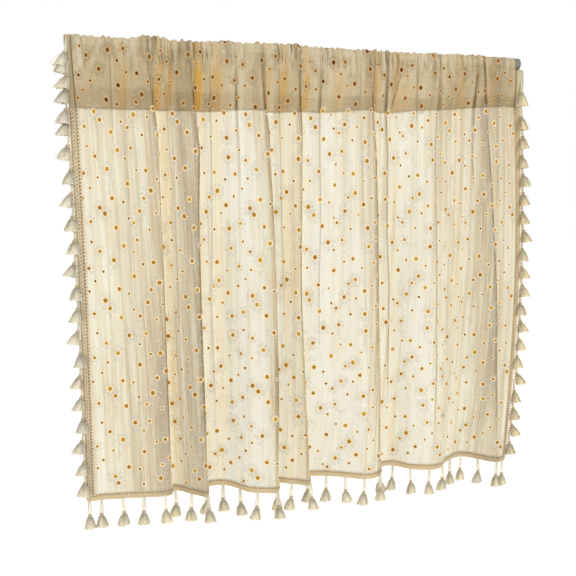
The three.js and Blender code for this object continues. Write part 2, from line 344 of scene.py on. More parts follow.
def tube(path: Array, radii: Array | float, sides: int) -> tuple[Array, Array]:
    """A round yarn along a path that runs mostly up and down.

    Args:
        path: Its centre line.
        radii: Its radius, one for all or one for each point.
        sides: Sides of its section.

    Returns:
        Points and quads.
    """
    along = np.gradient(path, axis=0)
    along /= np.linalg.norm(along, axis=1, keepdims=True)
    first = np.cross(along, (0.0, 1.0, 0.0))
    first /= np.linalg.norm(first, axis=1, keepdims=True)
    second = np.cross(along, first)
    radii = np.broadcast_to(radii, len(path))[:, None, None]
    angle = np.linspace(0, 2 * math.pi, sides, endpoint=False)[None, :, None]
    rings = path[:, None] + radii * (np.cos(angle) * first[:, None] + np.sin(angle) * second[:, None])
    return rings.reshape(-1, 3), ring_faces(len(path), sides)


# Sections of a thread that lies on cloth: across it and up from it, in thread widths.
DIAMOND = np.array([(-0.5, 0.0), (0.0, 0.5), (0.5, 0.0), (0.0, -0.5)])
CRESTED = np.array([(-0.5, -0.1), (0.0, 0.28), (0.5, -0.1)])
FLAT = np.array([(-0.5, -0.05), (0.0, 0.06), (0.5, -0.14)])
ROUND = 0.5 * np.array([(math.cos(a), math.sin(a)) for a in np.linspace(0, 2 * math.pi, 6)[:-1]])


# ---------------------------------------------------------------- the folded cloth


@dataclass(frozen=True)
class FoldLine:
    """A line that the cloth is folded on, from the rod down to the hem.

    The places are those of the CAD cloth. tone is the painted shade of the light through the
    cloth along the line, partly the real density of layered gauze, from 0, palest, to 1. sway
    is how far the line bows aside half way down the sheet.
    """

    name: str
    rod_x: float
    seam_x: float
    hem_x: float
    seam_y: float
    hem_y: float
    seam_z: float
    tone: float
    sway: float = 0.0


FOLD_LINES = tuple(FoldLine(*row) for row in (
    ("left edge", -2, 1, 3, -1, 0, -92, 0.3, 2.0),
    ("left braid", 9, 12, 14, -1, 0, -92, 0.24, 2.0),
    ("panel 1", 66, 66, 69, 1, -1, -92, 0.31, 1.0),
    ("fold 1", 121, 123, 134, -5, -6, -92, 0.85, -1.2),
    ("behind 1", 128, 129, 139, 4, 12, -92, 0.15, -1.2),
    ("panel 2", 139, 140, 151, 3, 7, -92, 0.52, -1.0),
    ("fold 2", 184, 185, 188, -6, -28, -92, 1.0, -1.5),
    ("behind 2", 192, 192, 194.5, 4, 14, -92, 0.35, -1.5),
    ("panel 3", 218, 219, 222, 3, 12, -91, 0.1),
    ("rise 3", 254, 258, 264, -3, -26, -88, 0.1, 3.0),
    ("fold 3", 290, 293, 303, -7, -36, -89, 0.68, 5.5),
    ("behind 3", 299, 301, 311, 3, 2, -90, 0.05, 4.0),
    ("fold 4", 347, 349, 360.5, -5, -20, -89, 0.7, -5.5),
    ("behind 4", 356, 357, 368.5, 4, 15, -88, 0.05, -5.0),
    ("panel 5", 395, 398, 405, 2, 9, -88, 0.05, -2.0),
    ("rise 5", 436, 440, 460, -2, -16, -84, 0.15),
    ("fold 5", 467, 471, 491.5, -5, -11, -83, 0.85),
    ("behind 5", 478, 482, 506, 5, 26, -85, 0.25),
    ("panel 6", 505, 508, 529, 5, 30, -85, 0.2),
    ("rise 6", 538, 542, 558, 0, 5, -82, 0.1),
    ("fold 6", 579, 584, 602, -3, -3, -79, 0.45),
    ("slope 6", 608, 613, 636, 2, 22, -77, 0.4),
    ("behind 6", 630, 640, 674, 5, 42, -74, 0.45),
    ("rise 7", 651, 661, 704, 0, 18, -73, 0.62),
    ("fold 7", 669, 677, 725, -5, 0, -72, 0.95, 3.0),
    ("right braid", 724, 728.5, 736.5, 1, 3, -70, 0.45, 3.5),
    ("right edge", 735, 739.5, 745.5, 1, 9, -70, 0.6, 3.5),
))


@dataclass(frozen=True)
class Crease:
    """A crease that the gathers on the rod throw down the cloth.

    It starts at rod_x on the rod, is depth deep, runs reach below the rod and drifts
    sideways by drift on the way.
    """

    rod_x: float
    reach: float
    depth: float
    drift: float


MAIN_CREASES = tuple(Crease(*row) for row in (
    (42, 40, 1.2, -22),
    (94, 50, 1.0, -6),
    (115, 70, 1.7, 3),
    (121, 130, 1.6, 3),
    (135, 55, 1.6, 0),
    (149, 75, 1.4, -3),
    (173, 45, 1.2, 12),
    (184, 150, 1.8, 2),
    (247, 230, 1.8, -8),
    (287, 130, 1.8, 5),
    (325, 55, 1.5, -2),
    (347, 140, 1.7, 3),
    (380, 260, 1.4, 2),
    (393, 75, 1.0, -7),
    (423, 60, 1.1, -13),
    (468, 120, 1.8, 4),
    (490, 230, 1.8, 6),
    (511, 50, 1.3, -8),
    (545, 60, 1.0, -2),
    (584, 130, 1.6, 0),
    (632, 65, 1.3, -15),
    (652, 120, 2.2, -14),
    (662, 160, 2.2, 8),
))


@dataclass(frozen=True)
class FoldEdge:
    """A sharp edge down the cloth where one fold lies over the next.

    It starts at rod_x on the rod and runs reach below it. step is how far the cloth drops
    back past the edge, shade is how dark its shadow line is, and top is how far aside the
    gathers pull it at the rod.
    """

    rod_x: float
    reach: float
    step: float
    shade: float
    top: float = 0.0


FOLD_EDGES = tuple(FoldEdge(*row) for row in (
    (62, 150, 0.8, 0.25),
    (82, 520, 0.8, 0.12),
    (124.5, 700, 3.0, 0.45, -8),
    (150, 620, 1.0, 0.18, -3),
    (188, 700, 3.4, 0.55, -12),
    (209, 640, 1.4, 0.28),
    (248, 230, 1.8, 0.26, -2),
    (295, 700, 3.0, 0.65, -8),
    (316, 420, 1.0, 0.25),
    (351, 700, 3.0, 0.65, -4),
    (385, 520, 0.9, 0.3, -2),
    (447, 600, 1.0, 0.15),
    (472, 700, 2.6, 0.5, -8),
    (491, 85, 1.2, 0.5, 29),
    (499, 640, 2.6, 0.52, -7),
    (547, 110, 0.9, 0.3, -4),
    (577, 700, 2.2, 0.42, 8),
    (643, 220, 1.4, 0.4, 9),
    (669, 700, 3.4, 0.85, -4),
    (704, 300, 0.8, 0.15, -6),
))


@dataclass(frozen=True)
class WarmStrip:
    """A strip down the cloth with a painted warm glow, where light comes through it twice.

    It follows the folds down from rod_x. sheet and pocket are its strengths on the single
    cloth and on the rod pocket.
    """

    rod_x: float
    half_width: float
    sheet: float
    pocket: float


WARM_STRIPS = tuple(WarmStrip(*row) for row in (
    (78, 7, 0.0, 0.4),
    (128.5, 6, 0.0, 0.95),
    (134, 8, 0.9, 0.0),
    (145, 5, 0.15, 0.45),
    (188, 7.5, 0.0, 0.9),
    (195, 5.5, 0.4, 0.0),
    (216, 8.5, 0.5, 0.75),
    (294.5, 4, 0.0, 0.6),
    (300, 4, 0.3, 0.0),
    (320, 5.5, 0.6, 0.95),
    (335, 8, 0.4, 0.1),
    (357, 6, 0.4, 0.7),
    (408, 10, 0.05, 0.2),
    (473, 5, 0.0, 0.9),
    (478, 5, 0.7, 0.0),
    (507, 6, 0.3, 0.65),
    (520, 12, 0.0, 0.3),
    (618, 6, 0.2, 0.35),
    (675, 5.5, 0.35, 0.7),
))


# Stretches of the rod where the cloth is bunched tight: middle, half width and strength.
BUNCHES = (
    (62, 9, 0.6),
    (136, 26, 1.0),
    (191, 25, 0.85),
    (240, 12, 0.5),
    (328, 21, 0.9),
    (395, 16, 0.45),
    (487, 31, 0.9),
    (560, 25, 0.45),
    (640, 30, 0.4),
    (692, 18, 0.4),
)


@dataclass
class Drape:
    """The folds of the cloth, as smooth surfaces through the fold lines.

    A station is a place between fold lines, counted from the left edge. The three plans,
    at the rod, at the pocket's seam and at the hem, are those of the CAD cloth.
    """

    span: float = 732
    hem_left_z: float = -696
    hem_right_z: float = -703
    pocket_radius: float = 10.4
    cap_pocket_radius: float = 12.0
    cap_reach: float = 23.0
    pocket_end: float = 717.0
    under_cap: float = -11.0
    least_radius: float = 9.3
    wall_gap: float = 1.2
    turn_in_left: float = 32.0
    turn_in_right: float = 17.0
    right_bow: float = 9.5

    def plan(self, station: Array, points: list[Triple]) -> Array:
        """A centripetal Catmull-Rom curve through one point for each fold line.

        Args:
            station: Places along it.
            points: The points that it passes.

        Returns:
            One point for each station.
        """
        points = np.array(points, float)
        ends = 2 * points[[0, -1]] - points[[1, -2]]
        held = np.concatenate([ends[:1], points, ends[1:]])
        first = np.clip(np.floor(station).astype(int), 0, len(points) - 2)
        t = (station - first)[:, None]
        a, b, c, d = (held[first + k] for k in range(4))
        gaps = [np.sqrt(np.linalg.norm(q - p, axis=1, keepdims=True)) for p, q in ((a, b), (b, c), (c, d))]
        start = (b - a) / gaps[0] - (c - a) / (gaps[0] + gaps[1]) + (c - b) / gaps[1]
        stop = (c - b) / gaps[1] - (d - b) / (gaps[1] + gaps[2]) + (d - c) / gaps[2]
        start, stop = start * gaps[1], stop * gaps[1]
        cubic = 2 * b - 2 * c + start + stop
        square = 3 * c - 3 * b - 2 * start - stop
        return ((cubic * t + square) * t + start) * t + b

    def rod(self, station: Array) -> Array:
        """Points on the rod's axis."""
        return self.plan(station, [(f.rod_x, 0, 0) for f in FOLD_LINES])

    def seam(self, station: Array) -> Array:
        """Points on the pocket's seam."""
        return self.plan(station, [(f.seam_x, f.seam_y, f.seam_z) for f in FOLD_LINES])

    def hem(self, station: Array) -> Array:
        """Points on the lower edge of the cloth."""
        slope = (self.hem_right_z - self.hem_left_z) / self.span
        return self.plan(station, [(f.hem_x, f.hem_y, self.hem_left_z + slope * f.hem_x) for f in FOLD_LINES])

    def sheet(self, station: Array, height: float) -> Array:
        """Points on the single sheet.

        Args:
            station: Places along the cloth.
            height: From 0 at the hem to 1 at the seam.

        Returns:
            One point for each station.
        """
        points = self.hem(station) * (1 - height) + self.seam(station) * height
        share = station / (len(FOLD_LINES) - 1)
        sway = np.interp(station, np.arange(len(FOLD_LINES)), [f.sway for f in FOLD_LINES])
        points[:, 0] += (self.right_bow * share ** 6 + sway) * math.sin(math.pi * height)
        return points

    def radius(self, station: Array) -> Array:
        """Radius of the pocket's turn over the rod and over the left cap."""
        over_cap = 1 - smooth_step(self.cap_reach - 6, self.cap_reach, self.rod(station)[:, 0])
        return self.pocket_radius + (self.cap_pocket_radius - self.pocket_radius) * over_cap

    def wall(self, station: Array, height: float, side: float) -> Array:
        """Points on a wall of the pocket, from the seam (height 0) to the rod (height 1).

        Args:
            station: Places along the cloth.
            height: Height on the wall.
            side: -1 for the front wall, 1 for the back one and 0 for the ply between them.

        Returns:
            One point for each station.
        """
        seam, rod = self.seam(station), self.rod(station)
        seam[:, 1] += self.wall_gap * (1 + side) / 2
        rod[:, 1] = side * self.radius(station)
        ease = math.sin(height * math.pi / 2)
        share = np.array([height, ease, height])
        return seam * (1 - share) + rod * share

    def turn(self, station: Array, angle: float) -> Array:
        """Points on the turn over the rod, at an angle from its front."""
        round_rod = (0.0, -math.cos(angle), math.sin(angle))
        return self.rod(station) + np.outer(self.radius(station), round_rod)

    def turn_in(self, station: Array) -> Array:
        """How far the raw edge is turned up inside the pocket."""
        share = station / (len(FOLD_LINES) - 1)
        return self.turn_in_left + (self.turn_in_right - self.turn_in_left) * share


@dataclass
class Gathers:
    """Displacement of the cloth by its gathers, creases, soft waves and crinkle.

    Positive is out of the cloth's face. The main creases come from their table, and small
    gathers fill the rod between them. A size of noise is across the cloth and up it.
    """

    drape: Drape
    seed: int = 7
    width: float = 2.3
    pitch: Pair = (5.5, 11.0)
    small_depth: Pair = (0.8, 1.9)
    small_reach: Pair = (16.0, 48.0)
    # Beside a crease the cloth rises: place and width in crease widths, and share of its depth.
    ridge: Triple = (2.0, 1.5, 0.62)
    # A fold edge wanders by this much over this height.
    wander: Pair = (1.8, 130.0)
    edge_width: float = 0.9
    edge_slope: float = 9.0
    top_reach: float = 150.0
    # Beside a fold edge: reach of its soft shadow on one side, and reach and share of the
    # light on the other.
    shadow_reach: float = 6.0
    light_reach: float = 5.0
    light_share: float = 0.7
    soft_share: float = 0.55
    # Place and width of its crisp painted shadow line.
    dark_line: Pair = (-1.9, 1.1)
    wave: float = 1.6
    broad_wave: Pair = (26.0, 330.0)
    narrow_wave: Pair = (12.0, 210.0)
    crinkle: float = 0.62
    long_wrinkle: Pair = (4.2, 75.0)
    wrinkle_bend: Pair = (30.0, 60.0)
    pucker: Pair = (3.1, 17.0)
    wide_wrinkle: Pair = (8.5, 150.0)
    ruffle: float = 1.3
    ruffle_pitch: float = 3.2
    # How far below the rod's axis the ruffle on top of it starts and stops to fade.
    ruffle_fade: Pair = (-6.0, 12.0)
    # Places on the rod where the bunched cloth stands up higher: middle, half width, height.
    puffs: tuple[Triple, ...] = ((122, 24, 3.4), (228, 20, 2.4), (305, 62, 2.8))
    # The pocket's walls stand out from the rod, and below this stretch they move as one.
    walls_join: Pair = (20.0, 55.0)
    # The cloth lies flat under its braids. In from an edge it starts to move, then moves freely.
    side_calm: Pair = (11.2, 28.8)
    hem_calm: Pair = (9.6, 28.8)
    # Depth and half width of the dent that the seam pulls in.
    seam_dent: Pair = (0.35, 2.5)
    creases: list[Crease] = field(default_factory=list)

    def __post_init__(self) -> None:
        """Fills the rod with small gathers between the main creases."""
        draw = np.random.default_rng(self.seed)
        self.creases = list(MAIN_CREASES)
        x = 22.0
        while x < self.drape.span - 18:
            if min(abs(x - c.rod_x) for c in MAIN_CREASES) > 5:
                depth, reach = draw.uniform(*self.small_depth), draw.uniform(*self.small_reach)
                self.creases.append(Crease(x, reach, depth, draw.uniform(-4, 4)))
            x += draw.uniform(*self.pitch)

    def drag(self, rod_x: Array, drop: Array) -> Array:
        """Depth of the creases that hang from the rod.

        Args:
            rod_x: Where the thread through each point crosses the rod.
            drop: How far below the rod's axis each point is.

        Returns:
            Displacement for each point.
        """
        total = np.zeros(np.broadcast(rod_x, drop).shape)
        place, half, height = self.ridge
        for crease in self.creases:
            share = np.clip(drop / crease.reach, 0, 1.3)
            fade = 1 - smooth_step(0.35, 1.0, share)
            wide = self.width * (1 + 0.8 * share)
            x = (rod_x - crease.rod_x - crease.drift * share) / wide
            valley = -np.exp(-x * x)
            ridges = np.exp(-((x - place) / half) ** 2) + np.exp(-((x + place) / half) ** 2)
            total += crease.depth * fade * (valley + height * ridges)
        return total

    def edges(self, rod_x: Array, drop: Array) -> tuple[Array, Array, Array]:
        """Steps of the cloth at its fold edges, and their shadow lines.

        Args:
            rod_x: Where the thread through each point crosses the rod.
            drop: How far below the rod's axis each point is.

        Returns:
            Displacement, soft shade and crisp line for each point.
        """
        step, shade, line = (np.zeros(rod_x.shape) for _ in range(3))
        place, half = self.dark_line
        for index, fold in enumerate(FOLD_EDGES):
            drift = self.wander[0] * SmoothNoise(self.seed + 20 + index)(drop / self.wander[1], 0.0)
            past = rod_x - fold.rod_x - drift - fold.top * np.maximum(1 - drop / self.top_reach, 0)
            held = 1 - smooth_step(0.75, 1.0, drop / fold.reach)
            held = held * (0.55 + 0.45 * smooth_step(10, 60, drop))
            slope = np.exp(-np.abs(past) / self.edge_slope)
            step -= 0.5 * fold.step * held * np.tanh(past / self.edge_width) * slope
            shadow = np.exp(np.minimum(past + 1, 0) / self.shadow_reach)
            light = -self.light_share * np.exp(-np.maximum(past, 0) / self.light_reach)
            shade += self.soft_share * fold.shade * held * np.where(past < -1, shadow, light)
            line += fold.shade * held * np.exp(-((past - place) / half) ** 2)
        return step, shade, line

    def _noise(self, number: int, size: Pair, u: Array, v: Array) -> Array:
        """Smooth noise on the cloth.

        Args:
            number: Tells it from the other noises.
            size: Its size across the cloth and up it.
            u: Place across the flat cloth.
            v: Place up from the hem.

        Returns:
            From -1 to 1 for each point.
        """
        return SmoothNoise(self.seed + number)(u / size[0], v / size[1])

    def waves(self, u: Array, v: Array, share: Array) -> Array:
        """Soft upright waves of the single sheet between its main folds.

        Args:
            u: Place across the flat cloth.
            v: Place up from the hem.
            share: Height between the hem (0) and the seam (1).

        Returns:
            Displacement for each point.
        """
        broad = self._noise(1, self.broad_wave, u, v)
        slant = u / self.narrow_wave[0] + v / 900
        narrow = self._noise(2, (1.0, self.narrow_wave[1]), slant, v)
        return self.wave * (broad * (1.15 - 0.5 * share) + 0.5 * narrow)

    def crinkles(self, u: Array, v: Array) -> Array:
        """The crepe of the gauze: long upright wrinkles with small puckers between them.

        Args:
            u: Place across the flat cloth.
            v: Place up from the hem.

        Returns:
            Displacement for each point.
        """
        bent = u / self.long_wrinkle[0] + 0.6 * self._noise(4, self.wrinkle_bend, u, v)
        long = self._noise(3, (1.0, self.long_wrinkle[1]), bent, v)
        short = self._noise(5, self.pucker, u, v)
        wide = self._noise(6, self.wide_wrinkle, u, v)
        ridged = 1 - 2 * np.abs(long)
        return self.crinkle * (0.5 * ridged + 0.28 * short + 0.6 * wide)


class ClothSurface:
    """The middle of the cloth as a fine grid, which every piece on it is laid on.

    Rows run from the hem up the sheet and the front wall, over the rod, down the back wall
    and up inside the pocket again. Columns run from the left edge to the right one. Cloth
    coordinates are u, across the flat cloth, and v, up it from the hem.
    """

    SHEET_ROWS = 112
    WALL_ROWS = 22
    TURN_ROWS = 15
    BACK_ROWS = 15
    TURN_IN_ROWS = 5
    COLUMNS = 590
    PLAN_STEPS = 4000
    V_STEP = 1.0
    EDGE_REACH = 3.5
    EDGE_DENSITY = 1.8
    TONE_RISE = 2.2

    def __init__(self, drape: Drape, gathers: Gathers) -> None:
        """Builds the grid.

        Args:
            drape: The main folds.
            gathers: What displaces the cloth from them.
        """
        self.drape = drape
        fine = np.linspace(0, len(FOLD_LINES) - 1, self.PLAN_STEPS)
        hem = drape.hem(fine)
        arc = np.concatenate([[0], np.cumsum(np.linalg.norm(np.diff(hem, axis=0), axis=1))])
        self.width = float(arc[-1])
        self.u = self._columns(fine, arc)
        self.station = np.interp(self.u, arc, fine)
        base = self._rows()
        self.main_z = base[..., 2]
        normals = self._normals(base)
        lengths = np.linalg.norm(np.diff(base, axis=0), axis=2)
        self.v = np.concatenate([np.zeros((1, self.COLUMNS)), np.cumsum(lengths, axis=0)])
        self.points = base + normals * self._displacement(base, gathers)[..., None]
        self._clear_rod()
        self.normals = self._normals(self.points)
        self._flatten(base)
        self._index_heights()

    def _columns(self, fine: Array, arc: Array) -> Array:
        """Places the columns, closer together along the sharp edges of the folds.

        Args:
            fine: Stations close together.
            arc: Their places across the flat cloth.

        Returns:
            The place of each column.
        """
        rod_x = self.drape.rod(fine)[:, 0]
        near = sum(np.exp(-((rod_x - fold.rod_x) / self.EDGE_REACH) ** 2) for fold in FOLD_EDGES)
        density = 1 + self.EDGE_DENSITY * np.minimum(near, 1)
        count = np.concatenate([[0], np.cumsum(density[1:] * np.diff(arc))])
        return np.interp(np.linspace(0, count[-1], self.COLUMNS), count, arc)

    def _rows(self) -> Array:
        """Lays the main folds as rows of points, and notes the first row of each stretch.

        Returns:
            The grid on the main folds.
        """
        s, drape = self.station, self.drape
        sheet = [drape.sheet(s, h) for h in np.linspace(0, 1, self.SHEET_ROWS)]
        front = [drape.wall(s, h, -1) for h in np.linspace(0, 1, self.WALL_ROWS)[1:]]
        turn = [drape.turn(s, a) for a in np.linspace(0, math.pi, self.TURN_ROWS)[1:-1]]
        back = [drape.wall(s, h, 1) for h in np.linspace(1, 0, self.BACK_ROWS)]
        drop = -drape.seam(s)[:, 2]
        inside = []
        for share in np.linspace(0, 1, self.TURN_IN_ROWS):
            middle = (drape.wall(s, 0, -1) + drape.wall(s, 0, 1)) / 2
            rise = (share * drape.turn_in(s) / drop)[:, None]
            inside.append(middle * (1 - rise) + drape.rod(s) * rise)
        counts = [len(sheet), len(front), len(turn), len(back), len(inside)]
        self.first = dict(zip(("sheet", "front", "turn", "back", "inside"),
                              np.cumsum([0] + counts).tolist()))
        return np.stack(sheet + front + turn + back + inside)

    @staticmethod
    def _normals(rows: Array) -> Array:
        """Unit normals of a grid, out of the cloth's face."""
        normals = np.cross(np.gradient(rows, axis=1), np.gradient(rows, axis=0))
        return normals / np.maximum(np.linalg.norm(normals, axis=2, keepdims=True), 1e-9)

    def _displacement(self, base: Array, gathers: Gathers) -> Array:
        """How far each point leaves the main folds, along the normal.

        Args:
            base: The grid on the main folds.
            gathers: What displaces it.

        Returns:
            One distance for each point.
        """
        first = self.first
        rod_x = np.broadcast_to(self.drape.rod(self.station)[:, 0], base.shape[:2])
        drop = np.maximum(-base[..., 2], 0)
        drag = gathers.drag(rod_x, drop)
        step, self.edge_shade, self.edge_shadow_line = gathers.edges(rod_x, drop)
        self.drag = drag.copy()
        drag = drag + step
        # The back wall faces away, so what moves with the front one has the other sign.
        together = smooth_step(*gathers.walls_join, drop)
        back = slice(first["back"], first["inside"])
        drag[back] *= 1 - 2 * together[back]
        drag[first["inside"]:] *= 0.9

        u = np.broadcast_to(self.u, base.shape[:2])
        margin = np.minimum(u, self.width - u)
        inner = smooth_step(*gathers.side_calm, margin)
        above_hem = smooth_step(*gathers.hem_calm, self.v)
        single = np.zeros(base.shape[:2])
        single[:first["front"]] = 1
        share = np.zeros(base.shape[:2])
        share[:first["front"]] = np.linspace(0, 1, self.SHEET_ROWS)[:, None]
        below_seam = 1 - smooth_step(0.86, 1.0, share)
        waves = gathers.waves(u, self.v, share) * single * below_seam * inner
        crinkle = gathers.crinkles(u, self.v) * (0.3 + 0.7 * single * (1 - share ** 12))
        crinkle[first["inside"]:] *= 0.2
        ruffle = gathers.ruffle * SmoothNoise(gathers.seed + 9)(rod_x / gathers.ruffle_pitch, 0.0)
        for middle, half_width, height in gathers.puffs:
            ruffle = ruffle + height * np.exp(-((rod_x - middle) / half_width) ** 4)
        drag = drag + ruffle * (1 - smooth_step(*gathers.ruffle_fade, -base[..., 2])) * (1 - single)
        depth, half = gathers.seam_dent
        dent = depth * np.exp(-((base[..., 2] - self.drape.seam(self.station)[:, 2]) / half) ** 2)
        return drag * inner + waves + crinkle * inner * above_hem - dent * single

    def _clear_rod(self) -> None:
        """Keeps the pocket clear of the rod inside it."""
        pocket = self.points[self.first["front"]:self.first["inside"]]
        away = np.hypot(pocket[..., 1], pocket[..., 2])
        push = np.maximum(self.drape.least_radius / np.maximum(away, 1e-6), 1)
        pocket[..., 1:] *= push[..., None]

    def _flatten(self, base: Array) -> None:
        """Finds each point's place across the flat cloth, measured along its own row.

        Args:
            base: The grid on the main folds.
        """
        steps = np.linalg.norm(np.diff(base, axis=1), axis=2)
        along = np.concatenate([np.zeros((len(base), 1)), np.cumsum(steps, axis=1)], axis=1)
        self.row_length = along[:, -1]
        self.flat_u = along * (self.width / along[:, -1:])
        even = np.arange(0, self.width, self.V_STEP)
        columns = np.arange(self.COLUMNS)
        self.column_at = np.stack([np.interp(even, row, columns) for row in self.flat_u])
        self.middle_v = self.v.mean(axis=1)

    def lay_out(self, local: Array) -> Array:
        """Lays points of the flat cut on the cloth.

        Args:
            local: Rows of place across the cut, place up it, and height above its face.

        Returns:
            Points in the row frame.
        """
        row = np.interp(local[:, 1], self.middle_v, np.arange(len(self.middle_v)))
        column = self._blend(self.column_at, row, np.clip(local[:, 0], 0, self.width) / self.V_STEP)
        u = np.interp(column, np.arange(self.COLUMNS), self.u)
        return self.place(np.stack([u, local[:, 1], local[:, 2]], 1))

    def from_side(self, local: Array, left: bool) -> Array:
        """Lays points along a side edge of the cloth.

        Args:
            local: Rows of place in from the edge, place up the cloth, and height above it.
            left: True for the left edge.

        Returns:
            Points in the row frame.
        """
        stretch = np.interp(local[:, 1], self.middle_v, self.width / self.row_length)
        inward = local[:, 0] * stretch
        flat = inward if left else self.width - inward
        beyond = np.where(left, np.minimum(flat, 0), np.maximum(flat - self.width, 0))
        points = self.lay_out(np.stack([flat, local[:, 1], local[:, 2]], 1))
        points[:, 0] += beyond
        return points

    def _index_heights(self) -> None:
        """Tabulates the row at each height of each column, to look points up by v."""
        self.length = float(self.v[-1].min())
        heights = np.arange(0, self.length, self.V_STEP)
        rows = np.arange(len(self.v))
        self.row_at = np.stack([np.interp(heights, self.v[:, c], rows) for c in range(self.COLUMNS)])

    def _blend(self, grid: Array, row: Array, column: Array) -> Array:
        """Samples a grid between its points.

        Args:
            grid: A value or a point for each row and column.
            row: Rows of the samples, in fractions.
            column: Columns of the samples, in fractions.

        Returns:
            One value or point for each sample.
        """
        r = np.clip(np.floor(row).astype(int), 0, grid.shape[0] - 2)
        c = np.clip(np.floor(column).astype(int), 0, grid.shape[1] - 2)
        s, t = row - r, column - c
        if grid.ndim == 3:
            s, t = s[:, None], t[:, None]
        low = grid[r, c] * (1 - t) + grid[r, c + 1] * t
        high = grid[r + 1, c] * (1 - t) + grid[r + 1, c + 1] * t
        return low * (1 - s) + high * s

    def place(self, local: Array) -> Array:
        """Lays points on the cloth.

        Args:
            local: Rows of u, v and height above the cloth's face. Past an edge of the cloth
                they go straight on.

        Returns:
            Points in the row frame.
        """
        u = np.clip(local[:, 0], 0, self.width)
        v = np.clip(local[:, 1], 0, self.length - 2 * self.V_STEP)
        column = np.interp(u, self.u, np.arange(self.COLUMNS))
        row = self._blend(self.row_at.T, v / self.V_STEP, column)
        points = self._blend(self.points, row, column)
        normals = self._blend(self.normals, row, column)
        inner = np.clip(column, 1, self.COLUMNS - 2)
        columns = np.arange(self.COLUMNS)
        ahead, behind = inner + 1, inner - 1
        across = self._blend(self.points, row, ahead) - self._blend(self.points, row, behind)
        across /= (np.interp(ahead, columns, self.u) - np.interp(behind, columns, self.u))[:, None]
        low = np.zeros_like(row)
        up = self._blend(self.points, low + 1, column) - self._blend(self.points, low, column)
        up /= np.linalg.norm(up, axis=1, keepdims=True)
        beyond_u, beyond_v = local[:, :1] - u[:, None], local[:, 1:2] - v[:, None]
        return points + normals * local[:, 2:] + across * beyond_u + up * np.minimum(beyond_v, 0)

    def under_cap(self) -> Array:
        """Marks the quads of the grid that are cut away round the right cap.

        Returns:
            True for each quad that is left out.
        """
        past = self.drape.rod(self.station)[:, 0] >= self.drape.pocket_end
        high = self.main_z > self.drape.under_cap
        high[:self.first["front"]] = False
        cut = high & past
        return cut[:-1, :-1] & cut[1:, :-1]

    def tone(self) -> Array:
        """The painted shade of the gauze at each column, partly its density.

        Returns:
            The tone of each column. It changes fastest beside the darker fold line.
        """
        tones = np.array([f.tone for f in FOLD_LINES])
        first = np.clip(np.floor(self.station).astype(int), 0, len(tones) - 2)
        share, low, high = self.station - first, tones[first], tones[first + 1]
        eased = np.where(high > low, share ** self.TONE_RISE, 1 - (1 - share) ** self.TONE_RISE)
        return low + (high - low) * eased

    def height_of(self, row: int, u: float) -> float:
        """The height v of a row of the grid at u."""
        return float(np.interp(u, self.u, self.v[row]))


# ---------------------------------------------------------------- finishes


